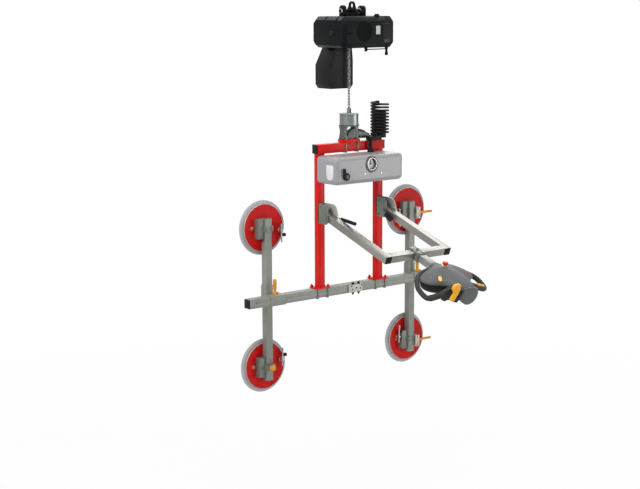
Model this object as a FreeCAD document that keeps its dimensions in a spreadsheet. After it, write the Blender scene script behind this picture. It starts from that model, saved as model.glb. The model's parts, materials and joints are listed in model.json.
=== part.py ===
"""Glass panel lifter: a chain hoist, a red vacuum frame with four suction pads, and an operator's handle.

Millimetres, +Z up, +X along the main beam, the operator on the -Y side and the glass on the +Y side.
The origin is the middle of the bore in the suspension eye, by which the whole lifter hangs.
"""
import FreeCAD, Part
import Sketcher
import math
import os
import re

V = FreeCAD.Vector

# Driving dimensions in millimetres and degrees, one sheet cell each
SIZES = {
    # General clearances and the overrun of cuts
    "run_gap": 0.05, "slide_gap": 0.4, "rest_gap": 0.3, "overrun": 5.0,
    # Suspension eye, its cross pin and the ears on the hoist that hold it
    "eye_offset": 22.0, "eye_bore": 13.0, "eye_thick": 12.0, "eye_round": 23.0, "eye_foot_deep": 92.0,
    "pin_radius": 9.0, "pin_drop": 29.0, "pin_reach": 12.0,
    "ear_long": 20.0, "ear_deep": 36.0, "ear_left_tall": 60.0, "ear_right_tall": 44.0, "ear_spread": 130.0,
    # Hoist housing, motor cover and what stands on them
    "hoist_top_drop": 58.0, "hoist_tall": 171.0, "hoist_deep": 264.0, "hoist_left": 146.0, "hoist_right": 207.0,
    "hoist_wall": 5.0, "hoist_bevel": 26.0, "cover_long": 46.0, "chain_hole": 13.0,
    "panel_notch_long": 14.0, "panel_notch_wide": 9.0, "panel_step": 88.0,
    "web_thick": 8.0, "web_near": 22.0, "web_deep": 206.0,
    "gland_radius": 16.0, "gland_tall": 12.0, "gland_x": 120.0, "gland_y": -95.0,
    "stop_front": 100.0, "stop_left_x": 38.0, "stop_right_x": 187.0, "stop_radius": 9.0,
    "stop_short": 20.0, "stop_long": 44.0, "stop_rod_radius": 3.0, "stop_rod_drop": 9.0,
    # Drive inside the hoist
    "wheel_pitch_radius": 24.0, "wheel_core": 15.2, "wheel_rim": 38.0, "wheel_groove": 17.6, "wheel_cheek": 5.0,
    "shaft_radius": 10.0, "shaft_left": 58.0, "shaft_right": 58.0, "drive_rise": 90.0,
    "tooth_module": 2.0, "gear_wide": 14.0, "gear_from": 36.0, "tooth_tall": 3.2,
    "rotor_shaft_radius": 8.0, "rotor_radius": 33.0, "rotor_gap": 1.0,
    "stator_radius": 64.0, "stator_long": 76.0, "stator_from": 78.0, "stator_foot_wide": 76.0,
    "boss_radius": 20.0,
    # Chain box
    "box_left": 127.0, "box_right": 46.0, "box_front": 20.0, "box_deep": 119.0, "box_tall": 225.0, "box_wall": 3.0,
    "box_bracket_long": 46.0, "box_bracket_tall": 42.0, "box_bracket_thick": 4.0,
    # Load chain and swivel
    "chain_wire": 2.5, "link_bend": 6.0, "link_straight": 8.0, "chain_hang": 366.0, "chain_inside": 95.0,
    "shackle_radius": 11.5, "shackle_tall": 33.0, "shackle_slot": 6.4, "shackle_pin": 3.0, "shackle_pin_rise": 27.0,
    "stem_radius": 12.0, "stem_head": 30.0, "stem_head_thick": 12.0, "stem_tail": 9.0, "stem_tail_long": 12.0,
    "swivel_radius": 54.0, "swivel_tall": 60.0, "swivel_lid": 12.0, "swivel_cavity": 33.0, "swivel_floor": 10.0,
    # Swivel yoke on the saddle of the lifting frame
    "yoke_tall": 78.0, "yoke_bridge": 8.0, "yoke_deep": 40.0, "yoke_half_long": 55.0, "yoke_leg_top": 24.0,
    "yoke_leg_foot": 15.0, "gusset_left": 4.0, "gusset_right": 136.0, "gusset_low": 38.0, "gusset_high": 56.0,
    "gusset_deep": 40.0, "gusset_hole": 5.0, "gusset_hole_x": 52.0, "gusset_hole_step": 21.0, "gusset_hole_rise": 20.0,
    # Red lifting frame
    "bar_long": 480.0, "bar_side": 50.0, "bar_wall": 4.0, "post_side": 40.0, "post_wall": 3.0, "post_long": 744.0,
    "post_spread": 424.0, "foot_long": 92.0, "foot_deep": 72.0, "foot_thick": 8.0,
    "saddle_long": 100.0, "saddle_deep": 72.0, "saddle_thick": 18.0,
    # Clamp straps round the tubes
    "strap_wide": 8.0, "strap_thick": 5.0, "strap_gap": 0.2, "strap_spread": 70.0, "saddle_strap_spread": 84.0,
    "stud_radius": 2.5, "stud_hole": 3.4, "stud_over": 4.0, "nut_radius": 6.5, "nut_tall": 6.0,
    # Main beam and the caps of the open tubes
    "beam_long": 1422.0, "beam_side": 50.0, "beam_wall": 4.0, "beam_hole": 4.0, "beam_hole_in": 45.0,
    "cap_thick": 3.0, "cap_plug": 12.0,
    # Valve manifold on the beam
    "manifold_long": 92.0, "manifold_tall": 44.0, "manifold_thick": 14.0, "manifold_x": 22.0,
    "nipple_radius": 4.0, "nipple_long": 11.0, "nipple_step": 42.0,
    # Vacuum unit on the posts
    "vac_long": 486.0, "vac_deep": 166.0, "vac_tall": 150.0, "vac_wall": 5.0, "vac_round": 24.0, "vac_drop": 10.0,
    "gauge_radius": 36.0, "gauge_wall": 3.0, "gauge_depth": 16.0, "gauge_lip": 5.0, "gauge_proud": 2.0,
    "gauge_x": 10.0, "gauge_rise": 102.0, "needle_hub": 4.0, "needle_hub_tall": 4.0, "needle_long": 25.0,
    "needle_wide": 2.4, "needle_thick": 1.6,
    "valve_hub": 22.0, "valve_thick": 16.0, "valve_stem": 6.0, "valve_x": -178.0, "valve_rise": 46.0,
    "valve_arm_long": 46.0, "valve_arm_wide": 12.0,
    "pump_long": 120.0, "pump_deep": 84.0, "pump_tall": 72.0, "pump_motor": 32.0, "pump_motor_long": 110.0,
    # Curly cable, its bracket on the crossbar and its connector
    "cable_radius": 5.75, "coil_radius": 48.0, "coil_pitch": 17.5, "coil_x": 218.0, "coil_y": -10.0,
    "bracket_left": 150.0, "bracket_long": 72.0, "bracket_deep": 46.0, "bracket_tall": 28.0,
    "lobe_left": 104.0, "lobe_long": 80.0, "lobe_deep": 42.0, "lobe_tall": 22.0, "conduit_x": 120.0,
    "conduit_radius": 11.0, "conduit_nut": 18.0, "conduit_nut_tall": 16.0, "gland_boss": 7.5, "gland_boss_long": 16.0,
    "coil_post_radius": 36.0, "coil_post_tall": 140.0,
    "plug_radius": 8.0, "plug_long": 18.0, "plug_collar": 7.5, "plug_collar_long": 8.0,
    # Cross-arms and their carriages on the beam
    "arm_side": 40.0, "arm_wall": 3.0, "arm_up": 443.0, "arm_down": 457.0, "arm_left_in": 169.0, "arm_right_in": 205.0,
    "sleeve_wall": 3.0, "sleeve_left": 30.0, "sleeve_right": 70.0, "collar_wall": 4.0, "collar_up": 78.0,
    "collar_down": 38.0, "arm_clamp_x": 16.0, "clamp_boss": 10.0, "clamp_boss_tall": 10.0,
    # Clamp handles
    "screw_radius": 4.0, "grip_radius": 6.5, "grip_long": 66.0, "grip_collar": 10.0, "grip_collar_long": 10.0,
    "screw_head": 7.0, "screw_head_long": 6.0, "side_collar_long": 42.0, "side_grip_long": 88.0, "front_grip_long": 16.0,
    "side_clamp_low": 22.0, "side_block_long": 34.0, "side_block_tall": 70.0, "side_block_low": 14.0,
    # Suction pads
    "pad_up": 389.0, "pad_down": 382.0, "pad_radius": 150.0, "plate_radius": 130.0, "plate_thick": 12.0,
    "seal_thick": 12.0, "seal_inner": 96.0, "seal_lip": 120.0, "seal_flare": 4.0, "plate_port": 8.0,
    "saddle_wall": 5.0, "saddle_left": 62.0, "saddle_tall": 108.0, "saddle_wing": 34.0,
    "claw_tall": 30.0, "claw_thick": 5.0, "claw_over": 6.0, "bridge_thick": 8.0,
    # Handle frame and its hinge brackets on the posts
    "pivot_out": 66.0, "pivot_rise": 432.0, "pivot_pin": 6.0, "hinge_gap": 2.5, "hinge_thick": 5.0,
    "hinge_deep": 112.0, "hinge_up": 72.0, "hinge_down": 38.0, "hinge_bevel": 26.0,
    "handle_tilt": 19.2, "handle_reach": 520.0, "handle_tail": 24.0, "handle_side": 40.0, "handle_wall": 3.0,
    "clamp_long": 90.0, "clamp_wall": 5.0, "clamp_screw": 7.0, "clamp_screw_tall": 12.0,
    "extension_back": 48.0, "extension_front": 120.0,
    "lever_hub": 11.0, "lever_thick": 12.0, "lever_left_wide": 9.0, "lever_right_wide": 18.0, "lever_left_long": 190.0, "lever_right_long": 92.0,
    "lever_left_dip": 7.0, "lever_right_dip": 33.0,
    # Control unit at the end of the handle
    "unit_half": 168.0, "unit_long": 290.0, "unit_low": 42.0, "unit_rim": 8.0, "unit_shoulder": 8.0, "unit_crown": 40.0,
    "unit_lift": 24.0, "nose_radius": 54.0, "nose_from": 120.0, "nose_x": 16.0, "nose_rise": 24.0,
    "neck_side": 46.0, "neck_long": 62.0,
    "loop_radius": 14.0, "loop_corner": 32.0, "loop_root": 40.0, "loop_root_along": 14.0, "loop_root_low": 12.0,
    "loop_shoulder": 132.0, "loop_shoulder_along": 21.0, "loop_shoulder_low": 18.0,
    "loop_out": 218.0, "loop_out_along": 118.0, "loop_out_low": 37.0, "loop_front": 196.0, "loop_front_low": 66.0,
    "loop_inner": 120.0, "loop_inner_front": 228.0, "loop_inner_low": 30.0, "loop_end_low": -40.0,
    "trigger_wide": 30.0, "trigger_thick": 15.0, "trigger_tall": 92.0, "trigger_along": 272.0, "trigger_top": 34.0,
    "trigger_pin": 4.0, "trigger_pin_low": 16.0, "trigger_pin_long": 16.0,
    "paddle_long": 60.0, "paddle_wide": 14.0, "paddle_thick": 7.0,
    "button_radius": 11.0, "button_x": 96.0, "button_along": 162.0, "button_proud": 5.0, "button_deep": 12.0,
    "stop_along": 78.0, "stop_cap": 15.0, "stop_cap_tall": 13.0, "stop_collar": 14.0, "stop_collar_tall": 5.0,
    "stop_stem": 6.0, "stop_travel": 6.0, "stop_stem_long": 20.0,
}

# Counts, and shares of the sizes that an outline follows
GEAR_TEETH = 56
PINION_TEETH = 14
TOOTH_ROOT_SHARE = 0.25
TOOTH_TIP_SHARE = 0.12
COIL_TURNS = 10.25
COIL_EASE_SHARE = 0.25
STEPS_PER_TURN = 4
NUT_SIDES = 6
WHEEL_NOTCHES = 5
EYE_SHOULDER_SHARE = 0.98
BOX_OUTLINE_SHARES = ((0.10, 0.0), (0.90, 0.0), (1.0, 0.09), (1.0, 0.70), (0.96, 1.0), (0.29, 1.0), (0.0, 0.58), (0.0, 0.11))
UNIT_OUTLINE_SHARES = ((0.14, 0.0), (0.50, 0.07), (0.94, 0.28), (1.0, 0.40), (0.92, 0.55), (0.56, 0.63), (0.32, 0.76), (0.32, 1.0))
UNIT_CENTRE_SHARE = 0.42
UNIT_CROWN_PLACE_SHARE = 0.35
PADDLE_PLACE_SHARE = 0.6
UNIT_FLOOR_SHARE = 0.90
UNIT_SHOULDER_SHARE = 0.75
UNIT_CROWN_SHARE = 0.32

doc = FreeCAD.newDocument("glass_panel_lifter")
sheet = doc.addObject("Spreadsheet::Sheet", "Sizes")
for row, (alias, value) in enumerate(SIZES.items(), start=1):
    sheet.set(f"A{row}", alias)
    sheet.set(f"B{row}", str(value))
    sheet.setAlias(f"B{row}", alias)
doc.recompute()

nodes = []
WORD = re.compile(r"[a-z][a-z_]*")
TURNS = {
    "x": FreeCAD.Rotation(V(0, 1, 0), 90),
    "y": FreeCAD.Rotation(V(1, 0, 0), -90),
    "z": FreeCAD.Rotation(),
    "-y": FreeCAD.Rotation(V(1, 0, 0), 90),
}

# Levels and stations: every piece is modelled round one of these points and then stands there
LINE_X = "-eye_offset"
HOIST_LOW = "-hoist_top_drop - hoist_tall"
SWIVEL_TOP = f"{HOIST_LOW} - chain_hang"
SADDLE_TOP = f"{SWIVEL_TOP} - swivel_tall - yoke_tall"
BAR_Z = f"{SADDLE_TOP} - saddle_thick - bar_side/2"
BEAM_Z = f"{BAR_Z} - bar_side/2 - post_long - foot_thick - beam_side/2"
EYE = ("0", "0", "0")
HOIST = (LINE_X, "0", HOIST_LOW)
SWIVEL = (LINE_X, "0", SWIVEL_TOP)
SADDLE = (LINE_X, "0", SADDLE_TOP)
BAR = (LINE_X, "0", BAR_Z)
BEAM = (LINE_X, "0", BEAM_Z)
VACUUM = (LINE_X, "-post_side/2", f"{BAR_Z} - bar_side/2 - vac_drop - vac_tall")
PIVOT = (LINE_X, "-post_side/2 - pivot_out", f"{BEAM_Z} + pivot_rise")


def size(name):
    """A driving dimension as the sheet holds it."""
    return float(sheet.get(name))


def formula(text):
    """The text with every size name pointing at its cell."""
    return WORD.sub(lambda word: "Sizes." + word.group() if word.group() in SIZES else word.group(), text)


def bind(thing, **cells):
    """Tie properties of a thing to the sheet."""
    for prop, text in cells.items():
        thing.setExpression(prop, formula(text))


def seat(thing, x="0", y="0", z="0"):
    """Tie the place of a thing to the sheet."""
    for axis, text in zip("xyz", (x, y, z)):
        thing.setExpression(f".Placement.Base.{axis}", formula(text))
    return thing


def block(name, long, deep, tall, x="0", y="0", z="0"):
    """A box with its middle at x, y, z."""
    thing = doc.addObject("Part::Box", name)
    bind(thing, Length=long, Width=deep, Height=tall)
    return seat(thing, f"{x} - ({long})/2", f"{y} - ({deep})/2", f"{z} - ({tall})/2")


def rod(name, radius, long, axis="z", x="0", y="0", z="0"):
    """A cylinder that starts at x, y, z and runs along its axis."""
    thing = doc.addObject("Part::Cylinder", name)
    bind(thing, Radius=radius, Height=long)
    thing.Placement = FreeCAD.Placement(V(), TURNS[axis])
    return seat(thing, x, y, z)


def nut(name, radius, tall, x, y, z):
    """A hexagon standing on x, y, z."""
    thing = doc.addObject("Part::Prism", name)
    thing.Polygon = NUT_SIDES
    bind(thing, Circumradius=radius, Height=tall)
    return seat(thing, x, y, z)


def fuse(name, *things):
    """Several things joined into one."""
    thing = doc.addObject("Part::MultiFuse", name)
    thing.Shapes = list(things)
    thing.Refine = True
    return thing


def cut(name, base, *tools):
    """A thing with others taken out of it."""
    thing = doc.addObject("Part::Cut", name)
    thing.Base = base
    thing.Tool = tools[0] if len(tools) == 1 else fuse(name + "_tools", *tools)
    thing.Refine = True
    return thing


def group(name, *things):
    """Separate solids that share one node."""
    thing = doc.addObject("Part::Compound", name)
    thing.Links = list(things)
    return thing


def outline(body, plane, points):
    """A closed sketch whose corners are tied to the sheet."""
    sketch = body.newObject("Sketcher::SketchObject", body.Name + "_outline")
    sketch.AttachmentSupport = [(next(part for part in body.Origin.OriginFeatures if part.Role == plane), "")]
    sketch.MapMode = "FlatFace"
    count = len(points)
    start = size("beam_side")
    ring = [V(start * math.cos(math.tau * k / count), start * math.sin(math.tau * k / count)) for k in range(count)]
    for k in range(count):
        sketch.addGeometry(Part.LineSegment(ring[k], ring[(k + 1) % count]))
    for k in range(count):
        sketch.addConstraint(Sketcher.Constraint("Coincident", k, 2, (k + 1) % count, 1))
    for k, corner in enumerate(points):
        for kind, text, axis in (("DistanceX", corner[0], -2), ("DistanceY", corner[1], -1)):
            if text == "0":
                sketch.addConstraint(Sketcher.Constraint("PointOnObject", k, 1, axis))
            else:
                number = sketch.addConstraint(Sketcher.Constraint(kind, -1, 1, k, 1, start))
                sketch.setExpression(f"Constraints[{number}]", formula(text))
    return sketch


def turned(name, profile, axis="z", x="0", y="0", z="0"):
    """A turned piece: a profile of radius and height, spun round its axis."""
    body = doc.addObject("PartDesign::Body", name)
    sketch = outline(body, "XZ_Plane", profile)
    spin = body.newObject("PartDesign::Revolution", name + "_spin")
    spin.Profile = sketch
    spin.ReferenceAxis = (sketch, ["V_Axis"])
    spin.Angle = 360
    body.Placement = FreeCAD.Placement(V(), TURNS[axis])
    return seat(body, x, y, z)


def plate(name, plane, points, thick, x="0", y="0", z="0"):
    """A plate of one outline, its middle plane through x, y, z."""
    body = doc.addObject("PartDesign::Body", name)
    sketch = outline(body, plane, points)
    pad = body.newObject("PartDesign::Pad", name + "_pad")
    pad.Profile = sketch
    bind(pad, Length=thick)
    shift = {"YZ_Plane": (f"{x} - ({thick})/2", y, z), "XZ_Plane": (x, f"{y} + ({thick})/2", z)}
    return seat(body, *shift[plane])


def formed(name, shape):
    """A piece whose shape comes from a formula."""
    thing = doc.addObject("Part::Feature", name)
    thing.Shape = shape
    return thing


def node(label, thing, station):
    """Name a finished sub-part and stand it at its station."""
    thing.Label = label
    seat(thing, *station)
    nodes.append(thing)
    return thing


def tilted(label, thing):
    """Name a piece of the handle and turn it down about the hinge pins."""
    thing.Placement = FreeCAD.Placement(V(), FreeCAD.Rotation(V(1, 0, 0), size("handle_tilt")))
    bind(thing, **{".Placement.Rotation.Angle": "handle_tilt"})
    return node(label, thing, PIVOT)


def square_tube(name, long, side, wall, along, x="0", y="0", z="0"):
    """A square tube, open at both ends, with its middle at x, y, z."""
    outer = [side, side, side]
    inner = [f"{side} - 2*{wall}"] * 3
    outer["xyz".index(along)] = long
    inner["xyz".index(along)] = f"{long} + 2*overrun"
    return cut(name, block(name + "_outer", *outer, x, y, z), block(name + "_inner", *inner, x, y, z))


# Suspension eye and cross pin
def suspension():
    """The eye, a thick lug, is held between two ears by a cross pin."""
    foot = "eye_foot_deep/2"
    shoulder = f"eye_round*{EYE_SHOULDER_SHARE}"
    lug = plate("eye_lug", "YZ_Plane", (
        (f"-{foot}", "-hoist_top_drop"), (foot, "-hoist_top_drop"), (foot, "-pin_drop - pin_radius"),
        (shoulder, "0"), (f"-{shoulder}", "0"), (f"-{foot}", "-pin_drop - pin_radius")), "eye_thick")
    crown = rod("eye_crown", "eye_round", "eye_thick", "x", "-eye_thick/2")
    bore = rod("eye_bore_cut", "eye_bore", "eye_thick + 2*overrun", "x", "-eye_thick/2 - overrun")
    seat_hole = rod("eye_pin_cut", "pin_radius + run_gap", "eye_thick + 2*overrun", "x",
                    "-eye_thick/2 - overrun", "0", "-pin_drop")
    node("suspension_eye", cut("eye", fuse("eye_blank", lug, crown), bore, seat_hole), EYE)
    half = "ear_spread/2 + ear_long/2 + pin_reach"
    node("suspension_pin", rod("cross_pin", "pin_radius", f"2*({half})", "x"), (f"-({half})", "0", "-pin_drop"))


# Hoist housing, cover, drive and chain box
DRIVE_Y = "wheel_pitch_radius"
ROTOR_Y = f"wheel_pitch_radius - tooth_module*{GEAR_TEETH + PINION_TEETH}/2"


def octagon_profile(deep, tall, bevel, low):
    """Corners of a bevelled rectangle, in depth and height."""
    side = f"({deep})/2"
    return ((f"-{side} + {bevel}", low), (f"{side} - {bevel}", low), (side, f"{low} + {bevel}"),
            (side, f"{low} + {tall} - {bevel}"), (f"{side} - {bevel}", f"{low} + {tall}"),
            (f"-{side} + {bevel}", f"{low} + {tall}"), (f"-{side}", f"{low} + {tall} - {bevel}"),
            (f"-{side}", f"{low} + {bevel}"))


def hoist_housing():
    """The bevelled housing, closed on the left, with bearing webs inside and the ears on top."""
    long = "hoist_left + hoist_right - cover_long"
    middle = "(hoist_right - cover_long - hoist_left)/2"
    shell = plate("housing_outer", "YZ_Plane", octagon_profile("hoist_deep", "hoist_tall", "hoist_bevel", "0"),
                  long, middle)
    hollow = plate("housing_inner", "YZ_Plane", octagon_profile(
        "hoist_deep - 2*hoist_wall", "hoist_tall - 2*hoist_wall", "hoist_bevel", "hoist_wall"),
        f"{long} - hoist_wall + overrun", f"{middle} + (hoist_wall + overrun)/2")
    chain_holes = [rod(f"chain_hole_{k}", "chain_hole", "hoist_wall + 2*overrun", "z", "0", y, "-overrun")
                   for k, y in enumerate(("0", "2*wheel_pitch_radius"))]
    notches = [block(f"panel_notch_{k}", "panel_notch_long", "panel_notch_wide", "panel_notch_long",
                     "-hoist_left + panel_notch_long/2 - overrun", f"({k} - 0.5)*panel_step",
                     "hoist_tall - panel_notch_long/2 + overrun") for k in range(2)]
    ears = []
    for side, sign in (("left", -1), ("right", 1)):
        x, rise = f"eye_offset + {sign}*ear_spread/2", f"ear_{side}_tall - ear_deep/2"
        ears.append(block(f"ear_{side}", "ear_long", "ear_deep", rise, x, "0", f"hoist_tall + ({rise})/2"))
        ears.append(rod(f"ear_crown_{side}", "ear_deep/2", "ear_long", "x", f"{x} - ear_long/2", "0", f"hoist_tall + {rise}"))
    ear_bore = rod("ear_bore", "pin_radius + run_gap", "2*ear_spread", "x", "eye_offset - ear_spread", "0",
                   "hoist_tall + hoist_top_drop - pin_drop")
    bare = cut("housing_shell", shell, hollow, *notches, *chain_holes)
    webs = [block(f"web_{k}", "web_thick", "web_deep", "hoist_tall - 2*hoist_wall", x, "0", "hoist_tall/2")
            for k, x in enumerate(("-web_near - web_thick/2 - gear_wide", "web_near + web_thick/2"))]
    shaft_bore = rod("shaft_bore", "shaft_radius + run_gap", "hoist_left", "x", "-hoist_left/2", DRIVE_Y, "drive_rise")
    rotor_bore = rod("rotor_bore", "rotor_shaft_radius + run_gap", "web_thick + 2*overrun", "x",
                     "web_near - overrun", ROTOR_Y, "drive_rise")
    node("hoist_housing", cut("housing", fuse("housing_blank", bare, *webs, *ears), ear_bore, shaft_bore, rotor_bore),
         HOIST)


def motor_cover():
    """The end cover over the motor, with the boss that carries the rotor's far end."""
    middle = "hoist_right - cover_long/2"
    shell = plate("cover_outer", "YZ_Plane", octagon_profile("hoist_deep", "hoist_tall", "hoist_bevel", "0"),
                  "cover_long", middle)
    hollow = plate("cover_inner", "YZ_Plane", octagon_profile(
        "hoist_deep - 2*hoist_wall", "hoist_tall - 2*hoist_wall", "hoist_bevel", "hoist_wall"),
        "cover_long - hoist_wall + overrun", f"{middle} - (hoist_wall + overrun)/2")
    boss = rod("cover_boss", "boss_radius", "cover_long - hoist_wall/2", "x", "hoist_right - cover_long", ROTOR_Y,
               "drive_rise")
    seat_bore = rod("cover_bore", "rotor_shaft_radius + run_gap", "cover_long/2 - hoist_wall + overrun", "x",
                    "hoist_right - cover_long - overrun", ROTOR_Y, "drive_rise")
    node("motor_cover", cut("cover", fuse("cover_blank", cut("cover_shell", shell, hollow), boss), seat_bore), HOIST)


def toothed(teeth):
    """A gear blank with straight-sided teeth, its middle on the X axis."""
    pitch_angle = math.tau / teeth
    pitch = size("tooth_module") * teeth / 2
    foot, tip = pitch - size("tooth_tall") * 0.55, pitch + size("tooth_tall") * 0.45
    corners = []
    for k in range(teeth):
        for radius, share in ((foot, -TOOTH_ROOT_SHARE), (tip, -TOOTH_TIP_SHARE), (tip, TOOTH_TIP_SHARE),
                              (foot, TOOTH_ROOT_SHARE)):
            angle = pitch_angle * (k + share)
            corners.append(V(0, radius * math.cos(angle), radius * math.sin(angle)))
    return Part.Face(Part.makePolygon(corners + corners[:1])).extrude(V(size("gear_wide"), 0, 0))


def hoist_drive():
    """Chain wheel and drive gear on one shaft, driven by the pinion on the motor's rotor."""
    width = "wheel_groove + 2*wheel_cheek"
    core = rod("wheel_core_body", "wheel_core", width, "x", f"-({width})/2")
    cheeks = [rod(f"wheel_cheek_{side}", "wheel_rim", "wheel_cheek", "x", x)
              for side, x in (("left", f"-({width})/2"), ("right", "wheel_groove/2"))]
    turn = [math.tau * k / WHEEL_NOTCHES for k in range(WHEEL_NOTCHES)]
    notches = [rod(f"wheel_notch_{k}", "wheel_cheek", f"{width} + 2*overrun", "x", f"-({width})/2 - overrun",
                   f"wheel_rim*{math.cos(a):.4f}", f"wheel_rim*{math.sin(a):.4f}") for k, a in enumerate(turn)]
    shaft = rod("wheel_shaft", "shaft_radius", "shaft_left + shaft_right", "x", "-shaft_left")
    drive = (LINE_X, DRIVE_Y, f"{HOIST_LOW} + drive_rise")
    node("chain_wheel", cut("wheel", fuse("wheel_blank", core, *cheeks, shaft), *notches), drive)

    gear_blank = formed("gear_teeth", toothed(GEAR_TEETH))
    gear_bore = rod("gear_bore", "shaft_radius", "gear_wide + 2*overrun", "x", "-overrun")
    node("drive_gear", cut("gear", gear_blank, gear_bore), (f"{LINE_X} + gear_from", *drive[1:]))

    pinion_shape = toothed(PINION_TEETH)
    half_tooth = 180 / PINION_TEETH if PINION_TEETH % 2 == 0 else 0
    pinion_shape.rotate(V(), V(1, 0, 0), half_tooth)
    pinion = seat(formed("pinion_teeth", pinion_shape), "gear_from")
    rotor_shaft = rod("rotor_shaft", "rotor_shaft_radius", "hoist_right - cover_long/2 - hoist_wall - web_near - rest_gap",
                      "x", "web_near")
    pack = rod("rotor_pack", "rotor_radius", "stator_long", "x", "stator_from")
    node("motor_rotor", fuse("rotor", pinion, rotor_shaft, pack), (LINE_X, ROTOR_Y, f"{HOIST_LOW} + drive_rise"))

    ring = rod("stator_ring", "stator_radius", "stator_long", "x", "stator_from", ROTOR_Y, "drive_rise")
    foot = block("stator_foot", "stator_long", "stator_foot_wide", "drive_rise - hoist_wall",
                 "stator_from + stator_long/2", ROTOR_Y, "(drive_rise + hoist_wall)/2")
    bore = rod("stator_bore", "rotor_radius + rotor_gap", "stator_long + 2*overrun", "x", "stator_from - overrun",
               ROTOR_Y, "drive_rise")
    node("motor_stator", cut("stator", fuse("stator_blank", ring, foot), bore), HOIST)


def hoist_fittings():
    """The cable gland on top, and the two limit-stop plugs with their rod underneath."""
    gland = fuse("top_gland", rod("top_gland_base", "gland_radius", "gland_tall/2", "z", "gland_x", "gland_y", "hoist_tall"),
                 rod("top_gland_neck", "gland_radius*3/4", "gland_tall", "z", "gland_x", "gland_y", "hoist_tall"))
    left = rod("stop_plug_left", "stop_radius", "stop_short", "z", "stop_left_x", "-stop_front", "-stop_short")
    right = rod("stop_plug_right", "stop_radius", "stop_long", "z", "stop_right_x", "-stop_front", "-stop_long")
    link = rod("stop_rod", "stop_rod_radius", "stop_right_x - stop_left_x", "x", "stop_left_x", "-stop_front",
               "-stop_rod_drop")
    node("hoist_fittings", group("fittings", gland, fuse("limit_stop", left, right, link)), HOIST)


def chain_box():
    """The box that takes the slack chain, open at the top and hung under the hoist."""
    wide, tall, wall = size("box_left") + size("box_right"), size("box_tall"), size("box_wall")
    corners = [V(across * wide - size("box_left"), 0, (up - 1) * tall) for across, up in BOX_OUTLINE_SHARES]
    ring = Part.makePolygon(corners + corners[:1])
    front, deep = size("box_front"), size("box_deep")
    outer = Part.Face(ring).extrude(V(0, deep, 0))
    outer.translate(V(0, front, 0))
    inner = Part.Face(ring.makeOffset2D(-wall)).extrude(V(0, deep - 2 * wall, 0))
    inner.translate(V(0, front + wall, 0))
    mouth = inner.common(Part.makeBox(wide, deep + front, tall, V(-size("box_left"), 0, -tall - wall)))
    neck = Part.makeBox(2 * size("chain_hole") + 2 * wall, 2 * size("chain_hole") + 2 * wall, 2 * wall + size("overrun"),
                        V(-size("chain_hole") - wall, 2 * size("wheel_pitch_radius") - size("chain_hole") - wall, -2 * wall))
    bracket = Part.makeBox(size("box_bracket_long"), size("box_bracket_thick"), size("box_bracket_tall"),
                           V(-size("box_left") / 2 - size("box_bracket_long") / 2,
                             front - size("box_bracket_thick"), -size("box_bracket_tall")))
    node("chain_box", formed("box", outer.cut(mouth).cut(neck).fuse(bracket).removeSplitter()), HOIST)


# Load chain and swivel
def link_shape():
    """One chain link standing upright in the YZ plane, its middle at the origin."""
    wire, bend, half = size("chain_wire"), size("link_bend"), size("link_straight") / 2
    top = Part.makeTorus(bend, wire, V(0, 0, 0), V(1, 0, 0), -180, 180, 180)
    ends = []
    for sign in (1, -1):
        end = top.copy()
        middle = end.CenterOfMass
        end.rotate(V(), V(1, 0, 0), math.degrees(math.atan2(sign, 0) - math.atan2(middle.z, middle.y)))
        end.translate(V(0, 0, sign * half))
        ends.append(end)
    sides = [Part.makeCylinder(wire, 2 * half, V(0, sign * bend, -half)) for sign in (1, -1)]
    return ends[0].multiFuse([ends[1], *sides]).removeSplitter()


def load_chain():
    """Links hung in each other from the hoist down to the shackle, every other one turned across."""
    wire, bend, straight = size("chain_wire"), size("link_bend"), size("link_straight")
    inner_half = straight / 2 + bend - wire
    step = 2 * inner_half - size("rest_gap")
    first = size("rest_gap") + size("shackle_pin_rise") + inner_half - size("shackle_pin") - size("rest_gap")
    reach = size("chain_hang") + size("chain_inside") - inner_half - 2 * wire
    upright = link_shape()
    across = upright.copy()
    across.rotate(V(), V(0, 0, 1), 90)
    links = []
    while first + len(links) * step <= reach:
        one = (upright if len(links) % 2 == 0 else across).copy()
        one.translate(V(0, 0, first + len(links) * step))
        links.append(one)
    node("load_chain", formed("chain", Part.makeCompound(links)), SWIVEL)


def swivel():
    """The stem with the chain's shackle turns inside the swivel housing, which hangs on the stem's head."""
    head_top = "swivel_lid + rest_gap"
    head_low = f"{head_top} + stem_head_thick"
    stem = turned("stem_core", (
        ("0", "rest_gap"), ("0", f"-({head_low} + stem_tail_long)"), ("stem_tail", f"-({head_low} + stem_tail_long)"),
        ("stem_tail", f"-({head_low})"), ("stem_head", f"-({head_low})"), ("stem_head", f"-({head_top})"),
        ("stem_radius", f"-({head_top})"), ("stem_radius", "rest_gap")))
    shackle = rod("shackle", "shackle_radius", "shackle_tall", "z", "0", "0", "rest_gap")
    slot = block("shackle_slot_cut", "shackle_slot", "2*shackle_radius + 2*overrun", "shackle_tall", "0", "0",
                 "rest_gap + shackle_pin_rise/3 + shackle_tall/2")
    pin = rod("shackle_pin_rod", "shackle_pin", "shackle_radius + shackle_slot", "x", "-(shackle_radius + shackle_slot)/2",
              "0", "rest_gap + shackle_pin_rise")
    node("swivel_stem", fuse("stem", stem, cut("shackle_body", shackle, slot), pin), SWIVEL)
    node("swivel_housing", turned("swivel_drum", (
        ("stem_radius + run_gap", "0"), ("swivel_radius", "0"), ("swivel_radius", "-swivel_tall"), ("0", "-swivel_tall"),
        ("0", "-swivel_tall + swivel_floor"), ("swivel_cavity", "-swivel_tall + swivel_floor"),
        ("swivel_cavity", "-swivel_lid"), ("stem_radius + run_gap", "-swivel_lid"))), SWIVEL)


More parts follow.
